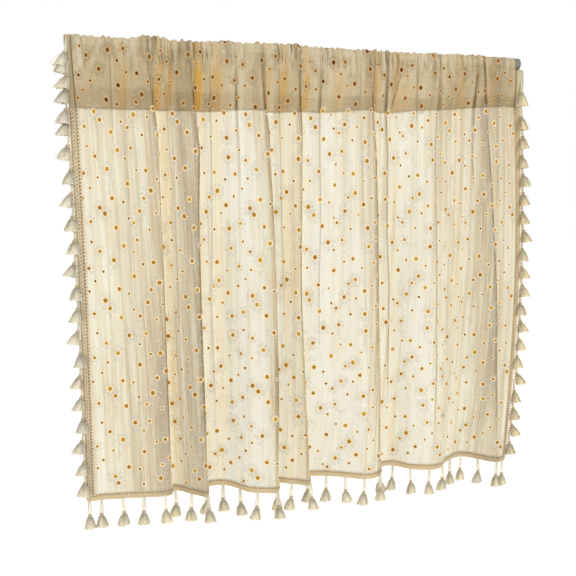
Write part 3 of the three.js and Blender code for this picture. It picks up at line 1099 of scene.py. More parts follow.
@dataclass(frozen=True)
class GauzeFinish:
    """Crinkled cotton gauze: open, matt, and lit through from behind.

    A colour ramp goes from the palest cloth to the darkest; what it maps is painted shade and
    density. A size of a pattern is across the cloth and up it, in millimetres.
    """

    sheet: tuple[tuple[float, str], ...] = (
        (0.0, "#E6E3D0"), (0.35, "#DCD4B7"), (0.7, "#C9BA93"), (1.0, "#AC9C79"))
    # The heading's ramp is darker: painted shade of the light through the doubled cloth.
    heading: tuple[tuple[float, str], ...] = ((0.0, "#E2D8BA"), (0.5, "#CCBB96"), (1.0, "#9E8863"))
    # Painted warm glow, where light comes through the cloth twice, on the sheet and on the heading.
    sheet_glow: str = "#EFD9A0"
    heading_glow: str = "#DFB25A"
    rosy: str = "#FCF5EF"
    # Colours of the painted shadow lines along fold edges and in pleats, on the sheet and on the heading.
    crease: str = "#7B6C4B"
    heading_crease_shadow: str = "#75603F"
    # The crepe yarns bunch and part down the cloth in thin and wide upright streaks.
    thin_streaks: Pair = (2.0, 120.0)
    wide_streaks: Pair = (7.0, 400.0)
    streak_weights: Pair = (1.05, 1.35)
    rosy_patches: Pair = (26.0, 80.0)
    # Real threads lie 0.5 mm apart, so warp and weft are drawn coarser.
    warp: Pair = (0.9, 22.0)
    weft: Pair = (9.0, 1.0)
    pleats: Pair = (6.5, 110.0)
    openness: Pair = (0.01, 0.2)
    glow: float = 0.42

    def build(self) -> bpy.types.Material:
        """Makes the material. Its coordinates and shades ride on the mesh.

        Returns:
            The material.
        """
        material, add = blank_material("cotton_gauze_crinkled")
        cloth = add("Attribute", attribute_name="cloth", out="Vector")
        tone, painted_glow, heading, crease, gather = (
            add("Attribute", attribute_name=name, out="Fac")
            for name in ("tone", "painted_glow", "heading", "crease", "gather"))

        # The heading is two plies thick, and so it shows the streaks less.
        thin = streaks(add, cloth, self.thin_streaks, detail=3)
        wide = streaks(add, cloth, self.wide_streaks, offset=3.1)
        plain = add("MapRange", {"Value": heading, "To Min": 1.0, "To Max": 0.4})
        shade = tone
        for noise, weight in zip((thin, wide), self.streak_weights):
            swing = add("Math", {0: noise, 1: 0.5}, operation="SUBTRACT")
            swing = add("Math", {0: swing, 1: plain}, operation="MULTIPLY")
            shade = add("Math", {0: swing, 1: weight, 2: shade}, operation="MULTIPLY_ADD")
        # The heading takes the darker ramp, painted shade of the light through two plies.
        pale, shaded_heading_colour = (add("ValToRGB", {0: shade}, stops=ramp) for ramp in (self.sheet, self.heading))
        warm, crease_shadow_colour = (
            add("Mix", {0: heading, 6: linear(single), 7: linear(double)}, out=2, data_type="RGBA")
            for single, double in ((self.sheet_glow, self.heading_glow),
                                   (self.crease, self.heading_crease_shadow)))
        colour = add("Mix", {0: heading, 6: pale, 7: shaded_heading_colour}, out=2, data_type="RGBA")
        # Painted warm glow down the strips where light comes through twice.
        colour = add("Mix", {0: painted_glow, 6: colour, 7: warm}, out=2, data_type="RGBA")

        # Here and there the cloth has a rosy grey cast.
        cast = add("MapRange", {
            "Value": streaks(add, cloth, self.rosy_patches, offset=13.3),
            "From Min": 0.45, "From Max": 0.7, "To Min": 0.0, "To Max": 0.8,
        })
        rosy = add("Mix", {0: 1.0, 6: colour, 7: linear(self.rosy)}, out=2, data_type="RGBA",
                   blend_type="MULTIPLY")
        colour = add("Mix", {0: cast, 6: colour, 7: rosy}, out=2, data_type="RGBA")

        warp = streaks(add, cloth, self.warp, offset=7.7)
        weft = streaks(add, cloth, self.weft, offset=5.3)
        weave = add("Math", {0: warp, 1: weft}, operation="MULTIPLY")
        lines = add("MapRange", {
            "Value": weave, "From Min": 0.1, "From Max": 0.42, "To Min": 0.97, "To Max": 1.02})
        colour = add("Mix", {0: 1.0, 6: colour, 7: lines}, out=2, data_type="RGBA",
                     blend_type="MULTIPLY")

        # Painted shadow lines where the cloth folds on itself: along fold edges, and in the pleats
        # that the rod bunches up, which are too fine for the mesh.
        pleats = streaks(add, cloth, self.pleats, offset=9.9)
        pleats = add("Math", {0: pleats, 1: 0.5}, operation="SUBTRACT")
        pleats = add("Math", {0: pleats}, operation="ABSOLUTE")
        pleat_shadows = add("MapRange", {
            "Value": pleats, "From Min": 0.05, "From Max": 0.01, "To Min": 0.0, "To Max": 1.0})
        shadow_lines = add("Math", {0: pleat_shadows, 1: gather, 2: crease}, operation="MULTIPLY_ADD", use_clamp=True)
        colour = add("Mix", {0: shadow_lines, 6: colour, 7: crease_shadow_colour}, out=2, data_type="RGBA")

        relief = add("Math", {0: thin, 1: 1.6, 2: weave}, operation="MULTIPLY_ADD")
        bump = add("Bump", {"Height": relief, "Strength": 0.5, "Distance": 0.6 * MM})
        face = add("BsdfPrincipled", {
            "Base Color": colour, "Roughness": 0.88, "Specular IOR Level": 0.18,
            "Sheen Weight": 0.12, "Normal": bump,
        })
        through = add("BsdfTranslucent", {"Color": colour, "Normal": bump})
        cloth_face = add("MixShader", {0: self.glow, 1: face, 2: through})
        # Pinholes where threads part, more open where warp and weft are both thin.
        holes = add("MapRange", {
            "Value": weave, "From Min": 0.36, "From Max": 0.16,
            "To Min": self.openness[0], "To Max": self.openness[1],
        })
        clear = add("BsdfTransparent", {"Color": linear("#FFFFFF")})
        whole = add("MixShader", {0: holes, 1: cloth_face, 2: clear})
        add("OutputMaterial", {"Surface": whole})
        return material


@dataclass(frozen=True)
class ThreadFinish:
    """Dyed cotton yarn: matt and a little hairy, each yarn in the colour it carries, painted shade included.

    grain is the size of a tuft of fibres in millimetres, drawn coarser than real ones.
    """

    name: str
    glow: float = 0.3
    grain: float = 0.8
    mottle: Pair = (0.82, 1.1)

    def build(self) -> bpy.types.Material:
        """Makes the material. The colour rides on the mesh as dye, painted shade included.

        Returns:
            The material.
        """
        material, add = blank_material(self.name)
        dye = add("Attribute", attribute_name="dye", out="Color")
        where = add("TexCoord", out="Object")
        fibres = add("TexNoise", {"Vector": where, "Scale": 1 / (self.grain * MM), "Detail": 2.0})
        shade = add("MapRange", {
            "Value": fibres, "From Min": 0.3, "From Max": 0.7,
            "To Min": self.mottle[0], "To Max": self.mottle[1],
        })
        colour = add("Mix", {0: 1.0, 6: dye, 7: shade}, out=2, data_type="RGBA", blend_type="MULTIPLY")
        bump = add("Bump", {"Height": fibres, "Strength": 0.4, "Distance": 0.2 * MM})
        face = add("BsdfPrincipled", {
            "Base Color": colour, "Roughness": 0.85, "Specular IOR Level": 0.2,
            "Sheen Weight": 0.15, "Normal": bump,
        })
        through = add("BsdfTranslucent", {"Color": colour})
        yarn = add("MixShader", {0: self.glow, 1: face, 2: through})
        add("OutputMaterial", {"Surface": yarn})
        return material


@dataclass(frozen=True)
class EnamelFinish:
    """Baked white enamel on thin steel tube: smooth, satin, with a faint orange peel."""

    colour: str = "#ECEBE6"
    worn: str = "#DAD8D0"
    # Length and width of a rubbed streak, and size of a bump, in millimetres.
    streak: Pair = (50.0, 6.25)
    bump: float = 10 / 9

    def build(self) -> bpy.types.Material:
        """Makes the material.

        Returns:
            The material.
        """
        material, add = blank_material("steel_tube_white_enamel")
        where = add("TexCoord", out="Object")
        along, round_it = (1 / (size * MM) for size in self.streak)
        rub = add("Mapping", {"Vector": where, "Scale": (along, round_it, round_it)})
        wear = add("TexNoise", {"Vector": rub, "Scale": 1.0, "Detail": 3.0})
        colour = add("ValToRGB", {0: wear}, stops=((0.35, self.worn), (0.6, self.colour)))
        peel = add("TexNoise", {"Vector": where, "Scale": 1 / (self.bump * MM)})
        bump = add("Bump", {"Height": peel, "Strength": 0.15, "Distance": 0.1 * MM})
        face = add("BsdfPrincipled", {
            "Base Color": colour, "Roughness": 0.34, "Coat Weight": 0.3, "Normal": bump})
        add("OutputMaterial", {"Surface": face})
        return material


@dataclass(frozen=True)
class RubberFinish:
    """Grey moulded rubber: matt, with the fine grain of its mould."""

    colour: str = "#807E74"
    dark: str = "#6B6960"
    # Size of a patch of bloom and of a grain, in millimetres. A real grain is too fine to show.
    patch: float = 100 / 19
    grain: float = 10 / 14

    def build(self) -> bpy.types.Material:
        """Makes the material.

        Returns:
            The material.
        """
        material, add = blank_material("end_cap_grey_rubber")
        where = add("TexCoord", out="Object")
        grain = add("TexNoise", {"Vector": where, "Scale": 1 / (self.grain * MM), "Detail": 3.0})
        bloom = add("TexNoise", {"Vector": where, "Scale": 1 / (self.patch * MM)})
        colour = add("ValToRGB", {0: bloom}, stops=((0.35, self.dark), (0.62, self.colour)))
        bump = add("Bump", {"Height": grain, "Strength": 0.35, "Distance": 0.15 * MM})
        face = add("BsdfPrincipled", {
            "Base Color": colour, "Roughness": 0.7, "Specular IOR Level": 0.3, "Normal": bump})
        add("OutputMaterial", {"Surface": face})
        return material


# ---------------------------------------------------------------- the cloth and its stitching


@dataclass
class GauzeSheet:
    """The curtain's cloth: one cut of gauze from the hem over the rod to its turned-in edge."""

    surface: ClothSurface
    finish: GauzeFinish = GauzeFinish()
    seed: int = 31
    # Weights of the broad and narrow unevenness of the cloth, and how even its heading is.
    unevenness: Pair = (0.14, 0.08)
    heading_tone: float = 0.42
    heading_evenness: float = 0.35
    # Just below the seam the cloth has painted shade, and lower down it is painted lighter but for one darker
    # strip.
    seam_shade: float = 0.22
    lower_light: float = 0.08
    dull_strip: float = 0.3
    dull_place: float = 112.0
    dull_reach: float = 64.0
    valley_shade: float = 0.5
    ridge_light: float = 0.28
    inner_ply: float = 0.11
    rim_light: float = 0.22
    rim_reach: float = 4.0
    # Share of the painted glow on the single sheet.
    sheet_glow_share: float = 0.8
    # A strip of painted warm glow wanders by this much over this height.
    wander: Pair = (2.5, 55.0)
    bunching: float = 0.9

    def __post_init__(self) -> None:
        """Marks where the cloth is doubled and how far below the rod's axis each point is."""
        self.heading = np.zeros(self.surface.v.shape)
        self.heading[self.surface.first["front"]:] = 1
        self.hung = np.maximum(-self.surface.main_z, 0)
        self.soft = SmoothNoise(self.seed)

    def build(self) -> bpy.types.Object:
        """Makes the sheet with its shades.

        Returns:
            The piece that stands for the CAD cloth.
        """
        surface = self.surface
        rows, columns = surface.v.shape
        layer = np.zeros((rows, columns))
        layer[surface.first["back"]:] = 1
        layer[surface.first["inside"]:] = 2
        # Each layer takes its patterns from another place.
        cloth = np.stack([surface.flat_u, surface.v, layer * 40], -1).reshape(-1, 3)
        faces = grid_faces(rows, columns)[~surface.under_cap().ravel()]
        shades = {name: [values.ravel()] for name, values in self._shades().items()}
        draft = MeshDraft([surface.points.reshape(-1, 3)], [faces], {"cloth": [cloth]} | shades)
        sheet = draft.to_object("gauze_sheet", self.finish.build())
        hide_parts("valance_cloth")
        return sheet

    def _shades(self) -> dict[str, Array]:
        """What the finish needs at every point of the grid.

        Returns:
            tone, its painted shade and density; painted_glow, the painted warm light through it; heading,
            1 where it is doubled; crease, its painted shadow lines; and gather, how bunched it is.
        """
        rim = np.exp(-(self.hung / self.rim_reach) ** 2) * self.heading
        line = np.clip(1.7 * self.surface.edge_shadow_line, 0, 0.85)
        return {"tone": self._tone() - self.rim_light * rim, "painted_glow": self._painted_glow(),
                "heading": self.heading, "crease": line * (1 - 0.6 * rim), "gather": self._bunched()}

    def _painted_glow(self) -> Array:
        """Painted warm glow of the light through the cloth, down its warm strips.

        Returns:
            From 0 to 1 for each point.
        """
        surface, soft, heading = self.surface, self.soft, self.heading
        wander = self.wander[0] * soft(surface.v / self.wander[1], 0.0)
        rod_x = surface.drape.rod(surface.station)[:, 0] + wander
        painted_glow = np.zeros(heading.shape)
        for strip in WARM_STRIPS:
            strength = np.where(heading > 0, strip.pocket, strip.sheet)
            painted_glow += strength * np.exp(-((rod_x - strip.rod_x) / strip.half_width) ** 6)
        painted_glow *= np.clip(0.85 + 0.45 * soft(surface.flat_u / 22 + 80, surface.v / 200), 0.3, 1.2)
        painted_glow *= 1 - heading * 0.55 * (1 - smooth_step(12, 45, self.hung))
        painted_glow *= 1 - np.clip(2 * surface.edge_shadow_line, 0, 1)
        return np.clip(painted_glow, 0, 1) * (self.sheet_glow_share + (1 - self.sheet_glow_share) * heading)

    def _tone(self) -> Array:
        """Painted shade and density of the cloth, without the painted light on top of the rod.

        Returns:
            One tone for each point. 0 is the palest cloth and 1 the darkest.
        """
        surface, soft, heading = self.surface, self.soft, self.heading
        u, v = surface.flat_u, surface.v
        broad, narrow = self.unevenness
        tone = surface.tone() + broad * soft(u / 16, v / 190) + narrow * soft(u / 6 + 40, v / 90)
        tone = tone + heading * self.heading_evenness * (self.heading_tone - tone)
        seam_v = v[surface.first["front"] - 1]
        drop = (seam_v - v) / seam_v
        below = smooth_step(0.35, 0.8, drop)
        dull = np.exp(-((u - self.dull_place) / self.dull_reach) ** 2)
        tone += self.seam_shade * np.exp(-np.maximum(drop, 0) / 0.05) * (1 - heading)
        tone += below * (self.dull_strip * dull - self.lower_light * (1 - dull))
        # Painted shade in the valleys of the gathers, and painted light on their ridges.
        valley = np.clip(-surface.drag / 1.5, 0, 1.2)
        ridge = np.clip(surface.drag, 0, 1)
        tone += (self.valley_shade * valley - self.ridge_light * ridge) * (0.35 + 0.65 * heading)
        # Painted shade and light beside the fold edges.
        tone += surface.edge_shade
        # The turned-in ply is darker: a third ply, and painted shade of the light through it.
        turned_in = surface.drape.turn_in(surface.station)
        ply = self.inner_ply * np.clip(0.7 + soft(u / 45 + 11, 0.0), 0.2, 1.6)
        tone += ply * heading * (1 - smooth_step(turned_in - 0.6, turned_in + 0.6, v - seam_v))
        return tone

    def _bunched(self) -> Array:
        """How tightly the cloth is bunched on the rod.

        Returns:
            From 0 to 1 for each point.
        """
        on_rod = self.surface.drape.rod(self.surface.station)[:, 0]
        reach = 13 + 7 * self.soft(on_rod / 9 + 23, 0.0)
        bunched = self.bunching * (1 - smooth_step(reach, 2 * reach, self.hung)) * self.heading
        tight = sum(strength * np.exp(-((on_rod - middle) / half) ** 4) for middle, half, strength in BUNCHES)
        return bunched * np.clip(tight + 0.3 * self.soft(on_rod / 12 + 7, 0.0), 0.12, 1)


class Motif(Enum):
    """What the embroidery repeats."""

    DAISY = "a large centre in looped petals"
    BUTTON = "a large centre alone"
    BUD = "a middling centre in short petals"
    DOT = "a small centre"
    SPRAY = "curled stems without a centre"


# The repeat, drawn one by one: place across, place up and motif, in millimetres.
REPEAT = (
    (12, 9, Motif.DAISY),
    (31, 20, Motif.BUD),
    (58, 31, Motif.DAISY),
    (50, 43, Motif.DAISY),
    (76, 13, Motif.BUTTON),
    (97, 27, Motif.DOT),
    (106, 19, Motif.BUD),
    (121, 36, Motif.DAISY),
    (133, 10, Motif.DOT),
    (7, 47, Motif.BUTTON),
    (23, 58, Motif.DOT),
    (36, 71, Motif.DOT),
    (72, 57, Motif.BUTTON),
    (90, 51, Motif.DOT),
    (128, 58, Motif.BUD),
    (141, 68, Motif.DAISY),
    (4, 86, Motif.DOT),
    (27, 93, Motif.BUD),
    (49, 86, Motif.DOT),
    (66, 101, Motif.DAISY),
    (101, 79, Motif.BUTTON),
    (118, 97, Motif.DOT),
    (135, 99, Motif.BUTTON),
    (14, 121, Motif.DAISY),
    (33, 131, Motif.DOT),
    (47, 117, Motif.BUD),
    (87, 127, Motif.DAISY),
    (101, 114, Motif.DOT),
    (113, 132, Motif.BUD),
    (146, 33, Motif.DOT),
    (86, 36, Motif.SPRAY),
    (20, 104, Motif.SPRAY),
    (64, 78, Motif.SPRAY),
    (124, 116, Motif.SPRAY),
)


@dataclass(frozen=True)
class Bloom:
    """Sizes of one motif's centre and petals."""

    radius: float
    dome: float
    sides: int
    petals: int = 0
    reach: float = 0.0
    petal_width: float = 0.0


BLOOMS = {
    Motif.DAISY: Bloom(3.5, 1.1, 10, 8, 13.0, 4.6),
    Motif.BUTTON: Bloom(3.2, 1.0, 10),
    Motif.BUD: Bloom(2.7, 0.8, 8, 6, 8.6, 3.8),
    Motif.DOT: Bloom(1.95, 0.6, 8),
}


@dataclass
class Embroidery:
    """Daisies scattered over the gauze: satin-stitched centres and looped thread petals."""

    surface: ClothSurface
    repeat: Pair = (151, 141)
    start: Pair = (-6, -4)
    margin: float = 14.0
    jitter: float = 2.2
    thread: float = 1.05
    halo_width: float = 2.0
    centre_colours: tuple[str, ...] = ("#D6A036", "#E2B548", "#C58D2C", "#CE9631")
    small_colours: tuple[str, ...] = ("#97713A", "#B28B46", "#7F5D2E")
    # On the heading the centres, halos and petals are painted darker: painted shade of the light through the
    # doubled cloth.
    heading_shaded_colours: tuple[str, ...] = ("#8C5A1B", "#744815", "#A36E24")
    halo: str = "#FFEBC2"
    heading_shaded_halo: str = "#E2C08A"
    # Outer side, crest and inner side of the thread that loops round a petal. The dark outer side is a
    # painted shadow beside the thread.
    petal_colours: tuple[str, str, str] = ("#A0977E", "#FFFFFA", "#F3EEDF")
    heading_shaded_petal: tuple[str, str, str] = ("#A09274", "#DACFB2", "#BDAE8D")
    seed: int = 5
    centres: MeshDraft = field(default_factory=MeshDraft)
    petals: MeshDraft = field(default_factory=MeshDraft)

    def __post_init__(self) -> None:
        """Starts the source of the motifs' small differences."""
        self.draw = np.random.default_rng(self.seed)

    def build(self) -> list[bpy.types.Object]:
        """Makes the centres and the petals.

        Returns:
            Both pieces.
        """
        surface = self.surface
        across = int(surface.width / self.repeat[0]) + 2
        up = int(surface.length / self.repeat[1]) + 2
        for i in range(across):
            for j in range(up):
                for x, y, motif in REPEAT:
                    shift = self.draw.uniform(-self.jitter, self.jitter, 2)
                    u = self.start[0] + i * self.repeat[0] + x + shift[0]
                    v = self.start[1] + j * self.repeat[1] + y + shift[1]
                    inside = self.margin < u < surface.width - self.margin
                    if inside and self.margin + 2 < v < surface.length - 12:
                        self._add(motif, np.array([u, v]))
        thread = ThreadFinish("cotton_floss_dyed", glow=0.2, mottle=(0.84, 1.12)).build()
        loops = ThreadFinish("cotton_floss_undyed", glow=0.5).build()
        made = [self.centres.move(surface.lay_out).to_object("daisy_centres", thread),
                self.petals.move(surface.lay_out).to_object("daisy_petals", loops)]
        return made

    def _add(self, motif: Motif, at: Array) -> None:
        """Stitches one motif.

        Args:
            motif: Its kind.
            at: Its place on the flat cloth.
        """
        draw = self.draw
        in_heading = at[1] > self.surface.height_of(self.surface.first["front"], at[0])
        # On the heading the thread takes colours with painted shade.
        dye = np.array([dye_of(c) for c in (self.heading_shaded_petal if in_heading else self.petal_colours)])
        if motif is Motif.SPRAY:
            self._spray(at, dye)
            return
        bloom = BLOOMS[motif]
        choices = self.heading_shaded_colours if in_heading else (
            self.small_colours if motif is Motif.DOT else self.centre_colours)
        colour = dye_of(choices[draw.integers(len(choices))])
        radius = bloom.radius * draw.uniform(0.88, 1.12)
        self._centre(at, radius, bloom, colour)
        halo = dye_of(self.heading_shaded_halo if in_heading else self.halo)
        turn = np.linspace(0, 2 * math.pi, bloom.sides, endpoint=False)
        rim = at + (radius + 0.4 * self.halo_width) * np.stack([np.cos(turn), np.sin(turn)], 1)
        self.centres.lay(rim, 0.25, self.halo_width, FLAT, halo, closed=True)
        start = draw.uniform(0, 2 * math.pi)
        for k in range(bloom.petals):
            angle = start + (k + draw.uniform(-0.16, 0.16)) * 2 * math.pi / bloom.petals
            reach = bloom.reach * draw.uniform(0.82, 1.12)
            start_at = radius + 0.9 * self.halo_width
            self._petal(at, angle, (start_at, reach, bloom.petal_width), dye)

    def _centre(self, at: Array, radius: float, bloom: Bloom, colour: Array) -> None:
        """Stitches a domed centre that shows on both faces of the cloth.

        Args:
            at: Its place on the flat cloth.
            radius: Its radius.
            bloom: Its other sizes.
            colour: Its thread colour, with painted shade on the heading.
        """
        draw = self.draw
        turn = np.linspace(0, 2 * math.pi, bloom.sides, endpoint=False) + draw.uniform(0, 1)
        uneven = radius * draw.uniform(0.92, 1.08, bloom.sides)
        circle = np.stack([np.cos(turn), np.sin(turn)], 1) * uneven[:, None]
        rings = ((0.45, bloom.dome), (0.85, bloom.dome * 0.72), (1.0, 0.0),
                 (0.85, -0.5 * bloom.dome), (0.45, -0.7 * bloom.dome))
        points = [np.column_stack([at + circle * share, np.full(bloom.sides, lift)]) for share, lift in rings]
        points += [[[at[0], at[1], bloom.dome * 1.1]], [[at[0], at[1], -0.75 * bloom.dome]]]
        k = np.arange(bloom.sides)
        after = (k + 1) % bloom.sides
        first, last = len(rings) * bloom.sides, (len(rings) - 1) * bloom.sides
        front = np.stack([np.full(bloom.sides, first), after, k], 1)
        back = np.stack([np.full(bloom.sides, first + 1), last + k, last + after], 1)
        # Each centre is darker in its middle, on both faces.
        depth = np.append(np.repeat([0.74, 1.0, 1.0, 0.9, 0.74], bloom.sides), [0.64, 0.64])[:, None]
        self.centres.add(np.concatenate(points), ring_faces(len(rings), bloom.sides), front, back,
                         dye=colour * depth)

    def _petal(self, at: Array, angle: float, sizes: Triple, dye: Array) -> None:
        """Stitches one looped petal.

        Args:
            at: Middle of its bloom.
            angle: Its direction.
            sizes: Distance of its start and its tip from the middle, and its width.
            dye: Colours of its thread, from its outer side, a painted shadow, to its inner one.
        """
        start, tip, width = sizes
        turn = np.linspace(0, 2 * math.pi, 8, endpoint=False)
        along = start + (tip - start) * (1 - np.cos(turn)) / 2
        across = width / 2 * np.sin(turn) * (0.55 + 0.45 * (1 - np.cos(turn)) / 2) * 1.25
        c, s = math.cos(angle), math.sin(angle)
        path = at + np.stack([along * c - across * s, along * s + across * c], 1)
        self.petals.lay(path, 0.2, self.thread, CRESTED, np.tile(dye, (len(path), 1)), closed=True)

    def _spray(self, at: Array, dye: Array) -> None:
        """Stitches two curled stems that meet at a foot.

        Args:
            at: Where the foot is.
            dye: Colours of the thread, from its outer side, a painted shadow, to its inner one.
        """
        lean = self.draw.uniform(0, 2 * math.pi)
        for hand in (-1, 1):
            t = np.linspace(0, 1, 9)
            angle = lean + hand * (0.3 + 3.6 * t * t)
            step = np.stack([np.cos(angle), np.sin(angle)], 1) * (2.6 - 1.1 * t)[:, None]
            path = at + np.cumsum(step, axis=0)
            self.petals.lay(path, 0.2, self.thread * 0.8, CRESTED, np.tile(dye, (len(path), 1)))


@dataclass
class SeamStitches:
    """Lockstitch that closes the rod pocket, seen as a broken line on both faces."""

    surface: ClothSurface
    pitch: float = 4.2
    length: float = 3.2
    thread: float = 0.75
    rise: float = 2.0
    colour: str = "#C9B68E"

    def build(self) -> bpy.types.Object:
        """Makes the stitches.

        Returns:
            The piece.
        """
        surface, draft = self.surface, MeshDraft()
        dye = dye_of(self.colour)
        rows = ((surface.first["front"] - 1, self.rise), (surface.first["inside"] - 1, -self.rise))
        for row, rise in rows:
            for u in np.arange(12, surface.width - 12, self.pitch):
                v = surface.height_of(row, u) + rise
                path = np.array([(u, v), (u + self.length / 2, v + 0.15), (u + self.length, v)])
                draft.lay(path, np.array([0.1, 0.4, 0.1]), self.thread, ROUND, dye)
        thread = ThreadFinish("sewing_thread_cream").build()
        stitches = draft.move(surface.place).to_object("seam_stitches", thread)
        return stitches


# ---------------------------------------------------------------- braids and tassels

# The turn from one strand to the next, in radians, that spreads them evenly.
GOLDEN_ANGLE = 2.39996


class Side(Enum):
    """The three trimmed edges of the cloth."""

    LEFT = "left"
    BOTTOM = "bottom"
    RIGHT = "right"


@dataclass(frozen=True)
class BraidStyle:
    """Colours and make of one braid.

    Rows of loops and picots are placed in from the braid's outer edge. A picot row's second
    number is 1 where its scallops point inward and -1 where they point outward. plain_start
    is where the plain back begins, at its upper end and at the seam.
    """

    tape: str
    plain: str
    cord: str
    loops: str
    picots: str
    cord_width: float
    sway: float
    loop_rows: tuple[float, ...]
    loop_pitch: float
    picot_rows: tuple[tuple[float, int], ...]
    plain_width: float = 9.0
    picot: float = 2.2
    plain_start: Pair = (0.0, 0.0)


# The loops are darker than the tape: their own thread, and painted shade of the holes between them.
STYLES = {
    Side.LEFT: BraidStyle("#DDCBA4", "#CFC19B", "#FFF3D6", "#C2AA80", "#FFF1D0", 2.2, 2.7,
                          (10.2,), 5.2, ((10.6, 1), (0.3, -1)), picot=3.4),
    Side.BOTTOM: BraidStyle("#FFE9BC", "#D3D0B6", "#FFF0CC", "#C6AA7B", "#FFFAEA", 1.7, 1.8,
                            (9.4,), 4.3, ((10.2, 1),)),
    # The right braid's colours are painted lighter, against the shade on its turned-away edge.
    Side.RIGHT: BraidStyle("#F2DEB2", "#E4DCB8", "#FFF1CC", "#CDB184", "#FFEFC8", 1.6, 1.9,
                           (8.6,), 4.6, ((0.2, -1),), 13.5, 4.4, (-1.0, -4.0)),
}


@dataclass
class Braid:
    """Woven trimming sewn round the edge: two cords that cross over a tape, and edge loops.

    On the heading the cloth is folded to the front with it, so its plain back shows there.
    """

    surface: ClothSurface
    side: Side
    width: float = 11.0
    period: float = 10.8
    cord_lift: float = 1.45
    cord_cross: float = 0.5
    loop: float = 1.1
    loop_thread: float = 0.9
    picot_thread: float = 1.2
    loop_lift: float = 1.3
    rib_pitch: float = 1.8
    rib: float = 0.12
    top_angle: float = 45.0
    # Colour and width of a painted shadow line along the inner edge of the plain back.
    edge_shadow_line: str = "#A98C66"
    edge_width: float = 1.8
    front_shade: float = 0.2

    def __post_init__(self) -> None:
        """Finds where the braid starts, where its plain back begins and where it stops."""
        surface = self.surface
        self.style = STYLES[self.side]
        # On the side edges the braid's axes are mirrored on the cloth, so its faces turn over.
        self.turned = self.side is not Side.BOTTOM
        self.start, self.seam, self.stop = 0.0, surface.width, surface.width
        if self.turned:
            column = 0.0 if self.side is Side.LEFT else surface.width
            over = math.radians(self.top_angle) * surface.drape.cap_pocket_radius
            past_front = over if self.side is Side.LEFT else surface.drape.under_cap
            self.start = self.width * 0.5
            self.seam = surface.height_of(surface.first["front"] - 1, column)
            self.stop = surface.height_of(surface.first["turn"] - 1, column) + past_front

    def build(self) -> bpy.types.Object:
        """Makes the braid.

        Returns:
            The piece that stands for the CAD trim.
        """
        style, draft, body = self.style, MeshDraft(), MeshDraft()
        if self.turned:
            upper, lower = style.plain_start
            dye = dye_of(style.plain)
            self._tape(self.seam, self.stop, style.plain_width, dye, draft, (lower, upper))
            # A painted shadow line along the inner edge of the plain back, where it meets the cloth.
            inner = np.linspace(lower, upper, 24) + style.plain_width + 0.6
            line = np.stack([np.linspace(self.seam - 4, self.stop, 24), inner], 1)
            draft.lay(line, 0.5, self.edge_width, ROUND * (1, 0.5), dye_of(self.edge_shadow_line), turned=True)
        self._tape(self.start, self.seam, self.width, dye_of(style.tape), body)
        for hand in (-1, 1):
            self._cord(hand, body)
        turn = np.linspace(0, 2 * math.pi, 6, endpoint=False)
        loop = np.stack([np.cos(turn), np.sin(turn)], 1) * self.loop
        for inward in style.loop_rows:
            self._row(inward, loop, body, width=self.loop_thread, section=ROUND,
                      dye=dye_of(style.loops), closed=True)
        turn = np.linspace(-0.3, math.pi + 0.3, 6)
        for inward, way in style.picot_rows:
            picot = np.stack([np.cos(turn) * style.loop_pitch * 0.42, way * np.sin(turn) * style.picot], 1)
            self._row(inward, picot, body, width=self.picot_thread, section=DIAMOND,
                      dye=dye_of(style.picots))
        points = np.concatenate(body.points)
        draft.add(points, *body.faces, dye=np.concatenate(body.values["dye"]) * self._depth(points[:, 0]))
        cotton = ThreadFinish(f"cotton_braid_{self.side.value}", glow=0.34, mottle=(0.82, 1.1)).build()
        braid = draft.move(self._place).to_object(f"braid_{self.side.value}", cotton)
        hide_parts(f"trim_{self.side.value}")
        return braid

    def _depth(self, along: Array) -> Array:
        """Shade of the braid. Light doesn't come through the front folds of the hem.

        Args:
            along: Places along the braid.

        Returns:
            The share of red, green and blue that it keeps at each place.
        """
        if self.side is Side.BOTTOM:
            tone = np.interp(along, self.surface.u, self.surface.tone())
            depth = 1 - self.front_shade * smooth_step(0.15, 0.9, tone)
        else:
            depth = 1 + 0.07 * SmoothNoise(17)(along / 23, 0.0)
        return depth[:, None] ** np.array([1.0, 1.15, 1.35])

    def _place(self, local: Array) -> Array:
        """Lays points of the braid on the cloth.

        Args:
            local: Rows of place along the braid, place in from the outer edge, and height.

        Returns:
            Points in the row frame.
        """
        if self.side is Side.BOTTOM:
            return self.surface.place(local)
        return self.surface.from_side(local[:, [1, 0, 2]], self.side is Side.LEFT)

    def _tape(
        self, start: float, stop: float, width: float, dye: Array, draft: MeshDraft,
        begins: Pair = (0.0, 0.0),
    ) -> None:
        """Weaves the flat tape, ribbed across.

        Args:
            start: Where it starts along the braid.
            stop: Where it stops.
            width: Its width.
            dye: Its colour, painted shade included.
            draft: Draft that takes it.
            begins: Where its outer edge lies, at its start and at its stop.
        """
        along = np.arange(start, stop, self.rib_pitch)
        section = np.array([(0.4, -0.5), (0.4, 0.5), (2.6, 0.9), (5.5, 1.0), (8.4, 0.9),
                            (10.6, 0.5), (10.6, -0.5), (5.5, -0.7)])
        section[:, 0] *= width / self.width
        rings = np.zeros((len(along), len(section), 3))
        rings[..., 0] = along[:, None]
        rings[..., 1:] = section
        rings[..., 1] += np.linspace(begins[0], begins[1], len(along))[:, None]
        rib = self.rib * (np.arange(len(along)) % 2)
        rings[:, 2:5, 2] += rib[:, None]
        sides = len(section)
        cap = np.array([[0, 1, 2, 7], [2, 3, 6, 7], [3, 4, 5, 6]])
        faces = [ring_faces(len(along), sides), cap, cap[:, ::-1] + (len(along) - 1) * sides]
        if self.turned:
            faces = [block[:, ::-1] for block in faces]
        draft.add(rings.reshape(-1, 3), *faces, dye=dye * np.repeat(1 - rib, sides)[:, None])

